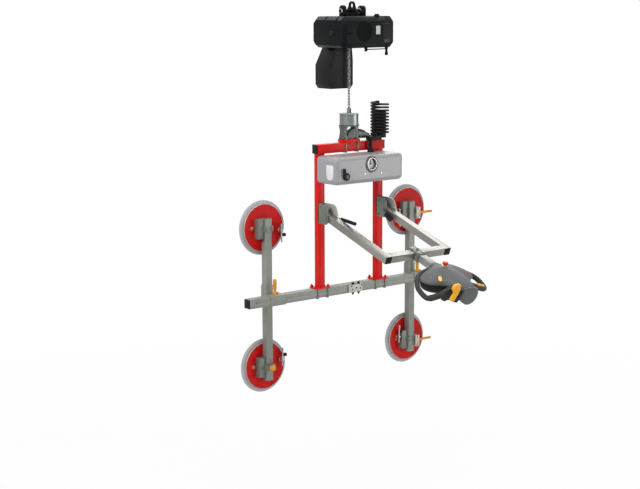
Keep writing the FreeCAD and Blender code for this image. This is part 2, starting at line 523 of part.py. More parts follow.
def swivel_yoke():
    """Two tapered legs under a bridge, with a gusset along the crossbar."""
    bridge = block("yoke_bridge_plate", "2*yoke_half_long", "yoke_deep", "yoke_bridge", "0", "0", "yoke_tall - yoke_bridge/2")
    legs = []
    for side, sign in (("left", -1), ("right", 1)):
        corners = [(f"{sign}*(yoke_half_long)", "yoke_tall - yoke_bridge/2"),
                   (f"{sign}*(yoke_half_long - yoke_leg_top)", "yoke_tall - yoke_bridge/2"),
                   (f"{sign}*(yoke_half_long - yoke_leg_top/2 - yoke_leg_foot/2)", "0"),
                   (f"{sign}*(yoke_half_long - yoke_leg_top/2 + yoke_leg_foot/2)", "0")]
        legs.append(plate(f"yoke_leg_{side}", "XZ_Plane", corners, "yoke_deep"))
    gusset = plate("yoke_gusset", "XZ_Plane", (
        ("-gusset_left", "0"), ("gusset_right", "0"), ("gusset_right", "gusset_low"),
        ("yoke_half_long", "gusset_high"), ("gusset_left", "gusset_high"), ("-gusset_left", "gusset_low")), "gusset_deep")
    holes = [rod(f"gusset_hole_{k}", "gusset_hole", "gusset_deep + 2*overrun", "y",
                 f"gusset_hole_x + {k}*gusset_hole_step", "-gusset_deep/2 - overrun", "gusset_hole_rise") for k in range(2)]
    node("swivel_yoke", cut("yoke", fuse("yoke_blank", bridge, *legs, gusset), *holes), SADDLE)


# Red lifting frame, straps, beam and caps
STRAP_Y = "beam_side/2 + strap_gap + strap_thick/2"
POST_SIDES = (("left", -1), ("right", 1))


def lifting_frame():
    """The welded red frame: crossbar, two posts on foot plates, and the saddle for the yoke."""
    parts = [square_tube("bar_tube", "bar_long", "bar_side", "bar_wall", "x"),
             block("saddle_plate", "saddle_long", "saddle_deep", "saddle_thick", "0", "0", "bar_side/2 + saddle_thick/2")]
    holes = [rod(f"saddle_hole_{a}{b}", "stud_hole", "saddle_thick + overrun", "z", f"{a}*saddle_strap_spread/2",
                 f"{b}*({STRAP_Y})", "bar_side/2 - overrun/2") for a in (-1, 1) for b in (-1, 1)]
    for side, sign in POST_SIDES:
        x = f"{sign}*post_spread/2"
        foot_z = "-bar_side/2 - post_long - foot_thick/2"
        parts.append(square_tube(f"post_{side}", "post_long", "post_side", "post_wall", "z", x, "0",
                                 "-bar_side/2 - post_long/2"))
        parts.append(block(f"foot_{side}", "foot_long", "foot_deep", "foot_thick", x, "0", foot_z))
        holes += [rod(f"foot_hole_{side}_{a}{b}", "stud_hole", "foot_thick + 2*overrun", "z",
                      f"{x} + {a}*strap_spread/2", f"{b}*({STRAP_Y})", f"{foot_z} - foot_thick/2 - overrun")
                  for a in (-1, 1) for b in (-1, 1)]
    node("lifting_frame", cut("frame", fuse("frame_blank", *parts), *holes), BAR)


def strap(name, x, z, plate_thick):
    """A square strap round a tube at height z, with studs up through a plate and nuts on it."""
    reach = "beam_side/2 + strap_gap"
    parts = [block(name + "_belt", "strap_wide", f"2*({reach} + strap_thick)", "strap_thick", x, "0",
                   f"{z} - ({reach}) - strap_thick/2")]
    for k, sign in enumerate((-1, 1)):
        y = f"{sign}*({STRAP_Y})"
        parts.append(block(f"{name}_leg_{k}", "strap_wide", "strap_thick", f"{reach} + strap_thick + beam_side/2",
                           x, y, f"{z} + beam_side/4 - ({reach} + strap_thick)/2"))
        parts.append(rod(f"{name}_stud_{k}", "stud_radius", f"{plate_thick} + nut_tall + stud_over + beam_side/4", "z",
                         x, y, f"{z} + beam_side/4"))
        parts.append(nut(f"{name}_nut_{k}", "nut_radius", "nut_tall", x, y, f"{z} + beam_side/2 + {plate_thick}"))
    return fuse(name, *parts)


def frame_straps():
    """The straps that hold the frame's feet on the beam and the saddle on the crossbar."""
    rise = "bar_side/2 + post_long + foot_thick + beam_side/2"
    straps = [strap(f"saddle_strap_{k}", f"{sign}*saddle_strap_spread/2", rise, "saddle_thick")
              for k, sign in enumerate((-1, 1))]
    for side, sign in POST_SIDES:
        straps += [strap(f"foot_strap_{side}_{k}", f"{sign}*post_spread/2 + {end}*strap_spread/2", "0", "foot_thick")
                   for k, end in enumerate((-1, 1))]
    node("frame_straps", group("straps", *straps), BEAM)


def end_cap(name, side, wall, sign, x, z):
    """A cap on the end of a square tube, with its plug inside the tube."""
    face = block(name + "_face", "cap_thick", side, side, f"{x} + {sign}*cap_thick/2", "0", z)
    inside = f"{side} - 2*{wall} - 2*strap_gap"
    plug = block(name + "_plug", "cap_plug", inside, inside, f"{x} - {sign}*cap_plug/2", "0", z)
    return fuse(name, face, plug)


def main_beam():
    """The beam, its end caps and the crossbar's, and the valve manifold on its front."""
    tube = square_tube("beam_tube", "beam_long", "beam_side", "beam_wall", "x")
    holes = [rod(f"beam_hole_{side}", "beam_hole", "beam_side/2 + overrun", "y", f"{sign}*(beam_long/2 - beam_hole_in)",
                 "-beam_side/2 - overrun") for side, sign in POST_SIDES]
    node("main_beam", cut("beam", tube, *holes), BEAM)
    rise = "bar_side/2 + post_long + foot_thick + beam_side/2"
    caps = []
    for side, sign in POST_SIDES:
        caps.append(end_cap(f"beam_cap_{side}", "beam_side", "beam_wall", sign, f"{sign}*beam_long/2", "0"))
        caps.append(end_cap(f"bar_cap_{side}", "bar_side", "bar_wall", sign, f"{sign}*bar_long/2", rise))
    node("tube_end_caps", group("caps", *caps), BEAM)
    front = "-beam_side/2 - manifold_thick/2"
    parts = [block("manifold_body", "manifold_long", "manifold_thick", "manifold_tall", "manifold_x", front)]
    for k, end in enumerate((-1, 1)):
        parts.append(rod(f"nipple_{k}", "nipple_radius", "manifold_tall + 2*nipple_long", "z",
                         f"manifold_x + {end}*nipple_step/2", front, "-manifold_tall/2 - nipple_long"))
    node("valve_manifold", fuse("manifold", *parts), BEAM)


# Vacuum unit
def soft_edges(name, base, radius, keep):
    """A block with its edges rounded, apart from those that keep names."""
    doc.recompute()
    thing = doc.addObject("Part::Fillet", name)
    thing.Base = base
    thing.Edges = [(k, size(radius), size(radius)) for k, edge in enumerate(base.Shape.Edges, start=1) if keep(edge)]
    return thing


def vacuum_unit():
    """The rounded housing on the posts, the pump in it, and the gauge and valve lever on its front."""
    whole = block("vac_block", "vac_long", "vac_deep", "vac_tall", "0", "-vac_deep/2", "vac_tall/2")
    back = -size("vac_wall")
    shell = soft_edges("vac_shell", whole, "vac_round", lambda edge: edge.BoundBox.YMin < back)
    hollow = block("vac_hollow", "vac_long - 2*vac_wall", "vac_deep - vac_wall + overrun", "vac_tall - 2*vac_wall", "0",
                   "(overrun - vac_deep + vac_wall)/2", "vac_tall/2")
    inner = soft_edges("vac_inner", hollow, "vac_round", lambda edge: edge.BoundBox.YMin < back)
    gauge_hole = rod("gauge_hole", "gauge_radius + strap_gap", "gauge_depth + 2*overrun", "y", "gauge_x",
                     "-vac_deep - overrun", "gauge_rise")
    stem_hole = rod("valve_hole", "valve_stem + run_gap", "vac_wall + 2*overrun", "y", "valve_x", "-vac_deep - overrun",
                    "valve_rise")
    node("vacuum_housing", cut("vac_housing", shell, inner, gauge_hole, stem_hole), VACUUM)

    pump_z = "vac_wall + pump_tall/2"
    head = block("pump_head", "pump_long", "pump_deep", "pump_tall", "pump_long/2", "-vac_deep/2", pump_z)
    motor = rod("pump_motor_body", "pump_motor", "pump_motor_long + overrun", "x", "-pump_motor_long", "-vac_deep/2", pump_z)
    node("vacuum_pump", fuse("pump", head, motor), VACUUM)

    face = "gauge_depth - gauge_wall"
    cup = "gauge_radius - gauge_wall"
    node("gauge_case", turned("gauge_cup", (
        ("0", face), (cup, face), (cup, "-gauge_proud"), ("gauge_radius + gauge_lip", "-gauge_proud"),
        ("gauge_radius + gauge_lip", "0"), ("gauge_radius", "0"), ("gauge_radius", "gauge_depth"), ("0", "gauge_depth")),
        "y"), (f"{LINE_X} + gauge_x", "-post_side/2 - vac_deep", f"{VACUUM[2]} + gauge_rise"))
    hub = rod("needle_hub_body", "needle_hub", "needle_hub_tall", "y", "0", f"{face} - rest_gap - needle_hub_tall")
    pointer = block("needle_pointer", "needle_wide", "needle_thick", "needle_long", "0",
                    f"{face} - rest_gap - needle_hub_tall/2", "needle_long/2")
    node("gauge_needle", fuse("needle", hub, pointer),
         (f"{LINE_X} + gauge_x", "-post_side/2 - vac_deep", f"{VACUUM[2]} + gauge_rise"))

    hub = rod("valve_hub_body", "valve_hub", "valve_thick", "y", "0", "-valve_thick - rest_gap")
    stem = rod("valve_stem_body", "valve_stem", "vac_wall + valve_thick/2 + overrun", "y", "0", "-valve_thick/2")
    arm = block("valve_arm", "valve_arm_wide", "valve_thick", "valve_arm_long", "-valve_hub + valve_arm_wide/2",
                "-valve_thick/2 - rest_gap", "valve_arm_long/2")
    node("vacuum_valve_lever", fuse("valve_lever", hub, stem, arm),
         (f"{LINE_X} + valve_x", "-post_side/2 - vac_deep", f"{VACUUM[2]} + valve_rise"))


# Curly cable
COIL_Z = "bar_side/2 + bracket_tall + rest_gap + cable_radius"


def coil_climb(turn):
    """Height of the curly cable after so many turns, and its steepness; both ends run out level."""
    pitch, ease = size("coil_pitch"), COIL_EASE_SHARE
    last = COIL_TURNS - ease
    if turn <= ease:
        return pitch * turn * turn / (2 * ease), pitch * turn / ease
    if turn <= last:
        return pitch * (turn - ease / 2), pitch
    past = turn - last
    return pitch * (last - ease / 2 + past - past * past / (2 * ease)), pitch * (1 - past / ease)


def coil_point(turn):
    """A point on the curly cable's middle line, and its direction there."""
    radius = size("coil_radius")
    angle = math.pi - math.tau * turn
    height, steep = coil_climb(turn)
    point = V(radius * math.cos(angle), radius * math.sin(angle), height)
    way = V(radius * math.tau * math.sin(angle), -radius * math.tau * math.cos(angle), steep)
    return point, way.normalize()


def arc_from(start, way, end):
    """The arc that leaves start along way and comes to end."""
    chord = end - start
    lean = way.getAngle(chord)
    if lean < 1e-6:
        return Part.LineSegment(start, end).toShape()
    inward = (way - chord * (way.dot(chord) / chord.dot(chord))).normalize()
    return Part.Arc(start, start + chord * 0.5 + inward * (chord.Length / 2 * math.tan(lean / 2)), end).toShape()


def biarc(start, way_start, end, way_end):
    """Two arcs that join two points and share their directions."""
    gap, both = end - start, way_start + way_end
    spread = 2 * (1 - way_start.dot(way_end))
    reach = (-gap.dot(both) + math.sqrt(gap.dot(both) ** 2 + spread * gap.dot(gap))) / spread
    middle = (start + way_start * reach + end - way_end * reach) * 0.5
    return [arc_from(start, way_start, middle), arc_from(end, way_end * -1, middle)]


def curly_cable():
    """The curly cable round its post, the bracket with the conduit to the vacuum unit, and the connector."""
    stops = [coil_point(k / STEPS_PER_TURN) for k in range(int(COIL_TURNS * STEPS_PER_TURN) + 1)]
    straight = 2 * size("cable_radius")
    first, way_first = stops[0]
    last, way_last = stops[-1]
    edges = [Part.LineSegment(first - way_first * straight, first).toShape()]
    for (here, way_here), (there, way_there) in zip(stops, stops[1:]):
        edges += biarc(here, way_here, there, way_there)
    edges.append(Part.LineSegment(last, last + way_last * straight).toShape())
    path = Part.Wire(Part.sortEdges(edges)[0])
    ring = Part.Wire(Part.makeCircle(size("cable_radius"), first - way_first * straight, way_first))
    tube = path.makePipeShell([ring], True, False)
    expected = math.pi * size("cable_radius") ** 2 * path.Length
    print(f"curly cable: length {path.Length:.1f}, volume {tube.Volume:.0f} for {expected:.0f}, gap {coil_gap():.2f}")
    coil = (f"{LINE_X} + coil_x", "coil_y", f"{BAR_Z} + {COIL_Z}")
    node("curly_cable", formed("cable", tube), coil)

    block_x = "bracket_left + bracket_long/2"
    base = block("bracket_block", "bracket_long", "bracket_deep", "bracket_tall", block_x, "0", "bar_side/2 + bracket_tall/2")
    lobe_y = "-bracket_deep/2 - lobe_deep/2"
    lobe = block("bracket_lobe", "lobe_long", "lobe_deep", "lobe_tall", "lobe_left + lobe_long/2", lobe_y,
                 "bar_side/2 + bracket_tall - lobe_tall/2")
    low = "bar_side/2 + vac_drop"
    conduit = rod("conduit", "conduit_radius", f"{low} + bar_side/2 + bracket_tall - lobe_tall/2", "z",
                  "conduit_x", lobe_y, f"-({low})")
    foot = rod("conduit_foot", "conduit_nut", "conduit_nut_tall", "z", "conduit_x", lobe_y, f"-({low})")
    boss = rod("gland_boss_body", "gland_boss", "gland_boss_long", "-y", "coil_x - coil_radius",
               "coil_y - 2*cable_radius", COIL_Z)
    post = rod("coil_post", "coil_post_radius", "bracket_tall/2 + coil_post_tall", "z", "coil_x", "coil_y",
               "bar_side/2 + bracket_tall/2")
    node("cable_bracket", fuse("bracket", base, lobe, conduit, foot, boss, post), BAR)

    plug = fuse("plug", rod("plug_neck", "plug_collar", "plug_collar_long", "x"),
                rod("plug_body", "plug_radius", "plug_long", "x", "plug_collar_long/2"))
    end_height = coil_climb(COIL_TURNS)[0] / size("coil_pitch")
    node("cable_connector", plug, (f"{coil[0]} + 2*cable_radius", "coil_y + coil_radius",
                                   f"{coil[2]} + coil_pitch*{end_height:.9f}"))


def coil_gap():
    """Least gap between neighbouring turns, measured on points along the middle line."""
    steps = 24
    points = [coil_point(k / steps)[0] for k in range(int(COIL_TURNS * steps) + 1)]
    pairs = ((points[a], points[b]) for a in range(len(points)) for b in range(a + steps // 2, len(points)))
    return min(a.distanceToPoint(b) for a, b in pairs) - 2 * size("cable_radius")


# Cross-arms, clamps and suction pads
ARM_Y = "beam_side/2 + slide_gap + sleeve_wall + arm_side/2"
PAD_BACK = f"{ARM_Y} + arm_side/2 + slide_gap"
ARM_LEFT_X = "arm_left_in - beam_long/2"
ARM_RIGHT_X = "beam_long/2 - arm_right_in"


def clamp_handle(name):
    """A clamp screw with a straight upright handle; the screw's tip lies at the origin."""
    start = "clamp_boss_tall + sleeve_wall + rest_gap"
    screw = rod(name + "_screw", "screw_radius", f"{start} + grip_collar_long")
    collar = rod(name + "_collar", "grip_collar", "grip_collar_long", "z", "0", "0", start)
    grip = rod(name + "_grip", "grip_radius", "grip_long", "z", "0", "0", f"{start} + grip_collar_long")
    return fuse(name, screw, collar, grip)


def cross_arm(side, x):
    """An upright tube behind the beam on a carriage that slides along it, with the clamp handle on top."""
    inside = "beam_side + 2*slide_gap"
    outside = f"{inside} + 2*sleeve_wall"
    long = "sleeve_left + sleeve_right"
    middle = "(sleeve_right - sleeve_left)/2"
    sleeve = block(f"{side}_sleeve_outer", long, outside, outside, middle)
    boss = rod(f"{side}_clamp_boss", "clamp_boss", "clamp_boss_tall", "z", "arm_clamp_x", "0",
               "beam_side/2 + slide_gap + sleeve_wall")
    tube = block(f"{side}_arm_outer", "arm_side", "arm_side", "arm_up + arm_down", "0", ARM_Y, "(arm_up - arm_down)/2")
    collar = block(f"{side}_collar", "arm_side + 2*collar_wall", "arm_side + collar_wall", "collar_up + collar_down", "0",
                   f"{ARM_Y} + collar_wall/2 - strap_gap", "(collar_up - collar_down)/2")
    bore = block(f"{side}_arm_inner", "arm_side - 2*arm_wall", "arm_side - 2*arm_wall", "arm_up + arm_down + 2*overrun",
                 "0", ARM_Y, "(arm_up - arm_down)/2")
    way = block(f"{side}_sleeve_inner", f"{long} + 2*overrun", inside, inside, middle)
    screw_bore = rod(f"{side}_screw_bore", "screw_radius + run_gap", "clamp_boss_tall + sleeve_wall + 2*overrun", "z",
                     "arm_clamp_x", "0", "beam_side/2 + slide_gap - overrun")
    place = (f"{LINE_X} + {x}", "0", BEAM_Z)
    blank = fuse(f"{side}_arm_blank", sleeve, boss, tube, collar)
    node(f"{side}_cross_arm", cut(f"{side}_arm", blank, way, bore, screw_bore), place)
    node(f"{side}_arm_clamp", clamp_handle(f"{side}_arm_handle"),
         (f"{LINE_X} + {x} + arm_clamp_x", "0", f"{BEAM_Z} + beam_side/2 + slide_gap"))


def suction_pad(name, x, z, clamp):
    """A pad: the bracket that slides on the arm, the red plate, the seal and the clamp screw."""
    place = (f"{LINE_X} + {x}", PAD_BACK, f"{BEAM_Z} + {z}")
    hold = "arm_side/2 + slide_gap"
    middle_y = "saddle_wall - saddle_wing/2"
    blank = [block(f"{name}_saddle", f"saddle_left + {hold} + claw_thick", "saddle_wing", "saddle_tall",
                   f"({hold} + claw_thick - saddle_left)/2", middle_y)]
    front = f"arm_side + 2*slide_gap + claw_thick"
    for k, sign in enumerate((-1, 1)):
        blank.append(block(f"{name}_claw_{k}", "claw_thick", f"{front} + saddle_wall", "claw_tall",
                           f"{sign}*({hold} + claw_thick/2)", f"(saddle_wall - ({front}))/2"))
        blank.append(block(f"{name}_hook_{k}", "claw_over + claw_thick", "claw_thick", "claw_tall",
                           f"{sign}*({hold} + claw_thick/2 - claw_over/2)", f"-({front}) + claw_thick/2"))
    if clamp == "front":
        blank.append(block(f"{name}_bridge", f"2*({hold}) + 2*claw_thick", "claw_thick + bridge_thick", "claw_tall", "0",
                           f"-({front}) + claw_thick/2 - bridge_thick/2"))
        bore = rod(f"{name}_screw_bore", "screw_radius + run_gap", "claw_thick + bridge_thick + 2*overrun", "-y", "0",
                   f"-({front}) + claw_thick + overrun")
        tip = ("0", f"-({front}) + claw_thick", "0")
    else:
        if clamp == "side":
            blank.append(block(f"{name}_side_block", "side_block_long", "saddle_wing", "side_block_tall",
                               f"{hold} + side_block_long/2", middle_y, "-side_block_low"))
        bore = rod(f"{name}_screw_bore", "screw_radius + run_gap", "side_block_long + 2*overrun", "x", hold, "-arm_side/4",
                   "-side_clamp_low")
        tip = (hold, "-arm_side/4", "-side_clamp_low")
    way = block(f"{name}_way", f"2*({hold})", "arm_side + 2*slide_gap", "saddle_tall + 2*overrun", "0",
                "-(arm_side + 2*slide_gap)/2")
    node(f"{name}_pad_bracket", cut(f"{name}_bracket", fuse(f"{name}_bracket_blank", *blank), way, bore), place)
    handle = pad_clamp(f"{name}_clamp_body", clamp)
    node(f"{name}_pad_clamp", handle, (f"{place[0]} + {tip[0]}", f"{PAD_BACK} + {tip[1]}", f"{place[2]} + {tip[2]}"))
    node(f"{name}_pad_plate", turned(f"{name}_plate", (
        ("plate_port", "0"), ("plate_radius - seal_flare", "0"), ("plate_radius", "seal_flare"),
        ("plate_radius", "plate_thick"), ("plate_port", "plate_thick")), "y"),
        (place[0], f"{PAD_BACK} + saddle_wall", place[2]))
    node(f"{name}_pad_seal", turned(f"{name}_seal", (
        ("seal_inner", "0"), ("pad_radius - seal_flare", "0"), ("pad_radius", "seal_flare"), ("pad_radius", "seal_thick"),
        ("seal_lip", "seal_thick"), ("seal_lip - seal_flare", "seal_thick/2"), ("seal_inner", "seal_thick/2")), "y"),
        (place[0], f"{PAD_BACK} + saddle_wall + plate_thick", place[2]))


def pad_clamp(name, clamp):
    """The clamp screw of a pad: with a straight handle in front or at the side, or with a plain head."""
    if clamp == "front":
        length, collar, grip = "claw_thick + bridge_thick", "grip_collar_long", "front_grip_long"
        axis, ways = "-y", lambda far: ("0", f"-({far})", "0")
    else:
        length = "claw_thick" if clamp == "screw" else "side_block_long"
        collar, grip = "side_collar_long", "side_grip_long"
        axis, ways = "x", lambda far: (far, "0", "0")
    start = f"{length} + rest_gap"
    if clamp == "screw":
        return fuse(name, rod(name + "_screw", "screw_radius", f"{start} + screw_head_long/2", axis),
                    rod(name + "_head", "screw_head", "screw_head_long", axis, *ways(start)))
    return fuse(name, rod(name + "_screw", "screw_radius", f"{start} + {collar}", axis),
                rod(name + "_collar", "grip_collar", collar, axis, *ways(start)),
                rod(name + "_grip", "grip_radius", grip, axis, *ways(f"{start} + {collar}")))


# Handle frame
HINGE_X = "handle_side/2 + hinge_gap + hinge_thick/2"


def handle_brackets():
    """A hinge bracket on the front of each post: a back plate, two cheeks and the pivot pin."""
    brackets = []
    for side, sign in POST_SIDES:
        x = f"{sign}*post_spread/2"
        back = block(f"hinge_back_{side}", f"2*({HINGE_X}) + hinge_thick", "hinge_thick", "hinge_up + hinge_down", x,
                     "pivot_out - hinge_thick/2", "(hinge_up - hinge_down)/2")
        parts = [back, rod(f"hinge_pin_{side}", "pivot_pin", f"2*({HINGE_X}) + hinge_thick", "x",
                           f"{x} - ({HINGE_X}) - hinge_thick/2")]
        for k, end in enumerate((-1, 1)):
            nose = "pivot_out - hinge_deep"
            parts.append(plate(f"hinge_cheek_{side}_{k}", "YZ_Plane", (
                ("pivot_out", "-hinge_down"), ("pivot_out", "hinge_up"), (f"{nose} + hinge_bevel", "hinge_up"),
                (nose, "hinge_up - hinge_bevel"), (nose, "-hinge_down + hinge_bevel/2"),
                (f"{nose} + hinge_bevel/2", "-hinge_down")), "hinge_thick", f"{x} + {end}*({HINGE_X})"))
        brackets.append(fuse(f"hinge_bracket_{side}", *parts))
    node("handle_brackets", group("hinge_brackets", *brackets), PIVOT)


def handle_frame():
    """Two arms on the hinge pins and the cross tubes between them, with the clamp sleeve in the middle."""
    parts, bores, caps = [], [], []
    cross_y = "-handle_reach + handle_side/2"
    sleeve = "handle_side/2 + slide_gap + clamp_wall"
    for side, sign in POST_SIDES:
        x = f"{sign}*post_spread/2"
        long = "handle_reach + handle_tail"
        parts.append(square_tube(f"handle_arm_{side}", long, "handle_side", "handle_wall", "y", x,
                                 "(handle_tail - handle_reach)/2"))
        run = f"post_spread/2 - handle_side/2 - ({sleeve})"
        parts.append(square_tube(f"handle_cross_{side}", run, "handle_side", "handle_wall", "x",
                                 f"{sign}*({sleeve} + ({run})/2)", cross_y))
        bores.append(rod(f"handle_bore_{side}", "pivot_pin + run_gap", "2*handle_side", "x", f"{x} - handle_side"))
        inside = "handle_side - 2*handle_wall - 2*strap_gap"
        caps.append(fuse(f"handle_cap_{side}",
                         block(f"handle_cap_face_{side}", "handle_side", "cap_thick", "handle_side", x,
                               "-handle_reach - cap_thick/2"),
                         block(f"handle_cap_plug_{side}", inside, "cap_plug", inside, x, "-handle_reach + cap_plug/2")))
    tilted("handle_frame", cut("handle", group("handle_blank", *parts), *bores))
    tilted("handle_end_caps", group("handle_caps", *caps))
    outer = block("clamp_outer", f"2*({sleeve})", "clamp_long", f"2*({sleeve})", "0", cross_y)
    inner = block("clamp_inner", "handle_side + 2*slide_gap", "clamp_long + 2*overrun", "handle_side + 2*slide_gap", "0",
                  cross_y)
    screw = rod("clamp_screw_body", "clamp_screw", "clamp_screw_tall", "z", "0", cross_y, sleeve)
    tilted("handle_clamp", fuse("clamp", cut("clamp_sleeve", outer, inner), screw))
    front = "handle_reach + extension_front"
    back = "handle_reach - handle_side/2 - extension_back"
    tilted("extension_tube", square_tube("extension", f"{front} - ({back})", "handle_side", "handle_wall", "y", "0",
                                         f"-({front} + {back})/2"))


def lock_lever(side, sign):
    """A black lever that locks the tilt, on the inner cheek of a hinge bracket."""
    hub = rod(f"{side}_lever_hub_body", "lever_hub", "lever_thick", "x", "-lever_thick/2")
    arm = block(f"{side}_lever_arm", "lever_thick", f"lever_{side}_long", f"lever_{side}_wide", "0", f"-lever_{side}_long/2")
    lever = fuse(f"{side}_lever", hub, arm)
    lever.Placement = FreeCAD.Placement(V(), FreeCAD.Rotation(V(1, 0, 0), size(f"lever_{side}_dip")))
    bind(lever, **{".Placement.Rotation.Angle": f"lever_{side}_dip"})
    inward = f"{HINGE_X} + hinge_thick/2 + rest_gap + lever_thick/2"
    node(f"{side}_lock_lever", lever, (f"{LINE_X} + {sign}*(post_spread/2 - ({inward}))", *PIVOT[1:]))


# Control unit, modelled level with its root at the origin and its front along -Y
def unit_ring(share, height, lift, centre_share=UNIT_CENTRE_SHARE):
    """The control unit's outline at one height, drawn in towards its middle by a share and lifted to the front."""
    half, long = size("unit_half"), size("unit_long")
    centre = centre_share * long
    right = []
    for across, reach in UNIT_OUTLINE_SHARES:
        along = centre + (reach * long - centre) * share
        right.append(V(across * half * share, -along, height + lift * along / long))
    left = [V(-corner.x, corner.y, corner.z) for corner in reversed(right)]
    return Part.makePolygon(right + left + right[:1])


def unit_body():
    """The domed housing with the rounded nose under its front."""
    lift = size("unit_lift")
    rings = [unit_ring(UNIT_FLOOR_SHARE, -size("unit_low"), 0), unit_ring(1, -size("unit_rim"), lift),
             unit_ring(UNIT_SHOULDER_SHARE, size("unit_shoulder"), lift),
             unit_ring(UNIT_CROWN_SHARE, size("unit_crown"), lift, UNIT_CROWN_PLACE_SHARE)]
    dome = Part.makeLoft(rings, True, True)
    radius, start, long = size("nose_radius"), size("nose_from"), size("unit_long")
    barrel = Part.makeCylinder(radius, long - start, V(size("nose_x"), -start, -size("nose_rise")), V(0, -1, 0))
    below = Part.makeBox(4 * radius, long, 2 * radius, V(-2 * radius, -long, -size("nose_rise") - 2 * radius))
    side = size("neck_side")
    neck = Part.makeBox(side, size("neck_long"), side, V(-side / 2, -size("neck_long"), -side / 2))
    return dome.multiFuse([barrel.common(below), neck]).removeSplitter()


def surface_height(body, x, along):
    """How high the housing's top stands over a point."""
    tall = 2 * size("unit_crown")
    line = Part.makeLine(V(x, -along, -size("unit_rim")), V(x, -along, tall))
    return body.common(line).BoundBox.ZMax


def rounded_path(points, radius):
    """Straight runs through the points with tangent arcs of one radius at the corners."""
    edges, start = [], points[0]
    for here, corner, there in zip(points, points[1:], points[2:]):
        way_in, way_out = (corner - here).normalize(), (there - corner).normalize()
        back = radius * math.tan(way_in.getAngle(way_out) / 2)
        first, second = corner - way_in * back, corner + way_out * back
        edges.append(Part.LineSegment(start, first).toShape())
        edges.append(arc_from(first, way_in, second))
        start = second
    edges.append(Part.LineSegment(start, points[-1]).toShape())
    return Part.Wire(edges)


def grip_points():
    """Corners of the left grip loop, from its root near the neck round to its end behind the trigger."""
    return [V(-size("loop_root"), -size("loop_root_along"), -size("loop_root_low")),
            V(-size("loop_shoulder"), -size("loop_shoulder_along"), -size("loop_shoulder_low")),
            V(-size("loop_out"), -size("loop_out_along"), -size("loop_out_low")),
            V(-size("loop_out"), -size("loop_front"), -size("loop_front_low")),
            V(-size("loop_inner"), -size("loop_inner_front"), -size("loop_inner_low")),
            V(0, -size("loop_inner_front"), -size("loop_end_low"))]


def control_unit():
    """Housing, grip loops, triggers, selector button and stop button."""
    body = unit_body()
    corners = grip_points()
    path = rounded_path(corners, size("loop_corner"))
    ring = Part.Wire(Part.makeCircle(size("loop_radius"), corners[0], corners[1] - corners[0]))
    left = path.makePipeShell([ring], True, False)
    loops = [left.cut(body), left.mirror(V(), V(1, 0, 0)).cut(body)]
    loops = [max(loop.Solids, key=lambda solid: solid.Volume) for loop in loops]

    stop_z = surface_height(body, 0, size("stop_along"))
    button_z = surface_height(body, -size("button_x"), size("button_along"))
    collar = Part.makeCylinder(size("stop_collar"), size("stop_collar_tall") + size("unit_crown"),
                               V(0, -size("stop_along"), stop_z - size("unit_crown")))
    stem_bore = Part.makeCylinder(size("stop_stem") + size("run_gap"), size("stop_stem_long") + size("stop_travel"),
                                  V(0, -size("stop_along"), stop_z + size("stop_collar_tall") - size("stop_stem_long")
                                    - size("stop_travel") + size("overrun")))
    button_bore = Part.makeCylinder(size("button_radius") + size("run_gap"), size("unit_crown") + size("button_deep"),
                                    V(-size("button_x"), -size("button_along"), button_z - size("button_deep")))
    face_x = -size("unit_half") * UNIT_OUTLINE_SHARES[-1][0]
    pin_z = -size("trigger_pin_low")
    pin_start = V(face_x - size("rest_gap") - size("trigger_pin_long") / 2, -size("trigger_along"), pin_z)
    pin_bore = Part.makeCylinder(size("trigger_pin") + size("run_gap"), size("trigger_pin_long") + size("rest_gap"),
                                 pin_start, V(1, 0, 0))
    housing = body.fuse(collar).cut(stem_bore).cut(button_bore).cut(pin_bore)
    shift = V(0, -size("handle_reach") - size("extension_front"), 0)

    def place_unit(label, shape):
        moved = shape.transformed(FreeCAD.Placement(shift, FreeCAD.Rotation()).toMatrix(), True)
        return tilted(label, formed(label + "_form", moved))

    place_unit("control_housing", housing)
    place_unit("control_grips", Part.makeCompound(loops))
    lever = Part.makeBox(size("trigger_wide"), size("trigger_thick"), size("trigger_tall"),
                         V(face_x - size("rest_gap") - size("trigger_wide"), -size("trigger_along") - size("trigger_thick") / 2,
                           size("trigger_top") - size("trigger_tall")))
    pin = Part.makeCylinder(size("trigger_pin"), size("trigger_pin_long"), pin_start, V(1, 0, 0))
    place_unit("left_trigger", lever.fuse(pin).removeSplitter())
    place_unit("right_trigger", right_paddle())
    place_unit("selector_button", Part.makeCylinder(
        size("button_radius"), size("button_deep") + size("button_proud") - size("rest_gap") - size("button_proud") / 2,
        V(-size("button_x"), -size("button_along"), button_z - size("button_deep") + size("button_proud") / 2 + size("rest_gap"))))
    cap_z = stop_z + size("stop_collar_tall") + size("stop_travel") + size("rest_gap")
    cap = Part.makeCylinder(size("stop_cap"), size("stop_cap_tall"), V(0, -size("stop_along"), cap_z))
    stem = Part.makeCylinder(size("stop_stem"), size("stop_stem_long"),
                             V(0, -size("stop_along"), cap_z - size("stop_stem_long") + size("stop_cap_tall") / 2))
    place_unit("stop_button", cap.fuse(stem).removeSplitter())


def right_paddle():
    """The thumb paddle that turns round the front run of the right grip loop."""
    start, end = (V(-corner.x, corner.y, corner.z) for corner in grip_points()[3:5])
    way = (end - start).normalize()
    up = (V(0, 0, 1) - way * way.z).normalize()
    side = up.cross(way)
    middle = start + (end - start) * PADDLE_PLACE_SHARE + up * (size("loop_radius") + size("rest_gap"))
    along, across = way * (size("paddle_long") / 2), side * (size("paddle_wide") / 2)
    ring = [middle + along * a + across * b for a, b in ((-1, -1), (1, -1), (1, 1), (-1, 1), (-1, -1))]
    return Part.Face(Part.makePolygon(ring)).extrude(up * size("paddle_thick"))


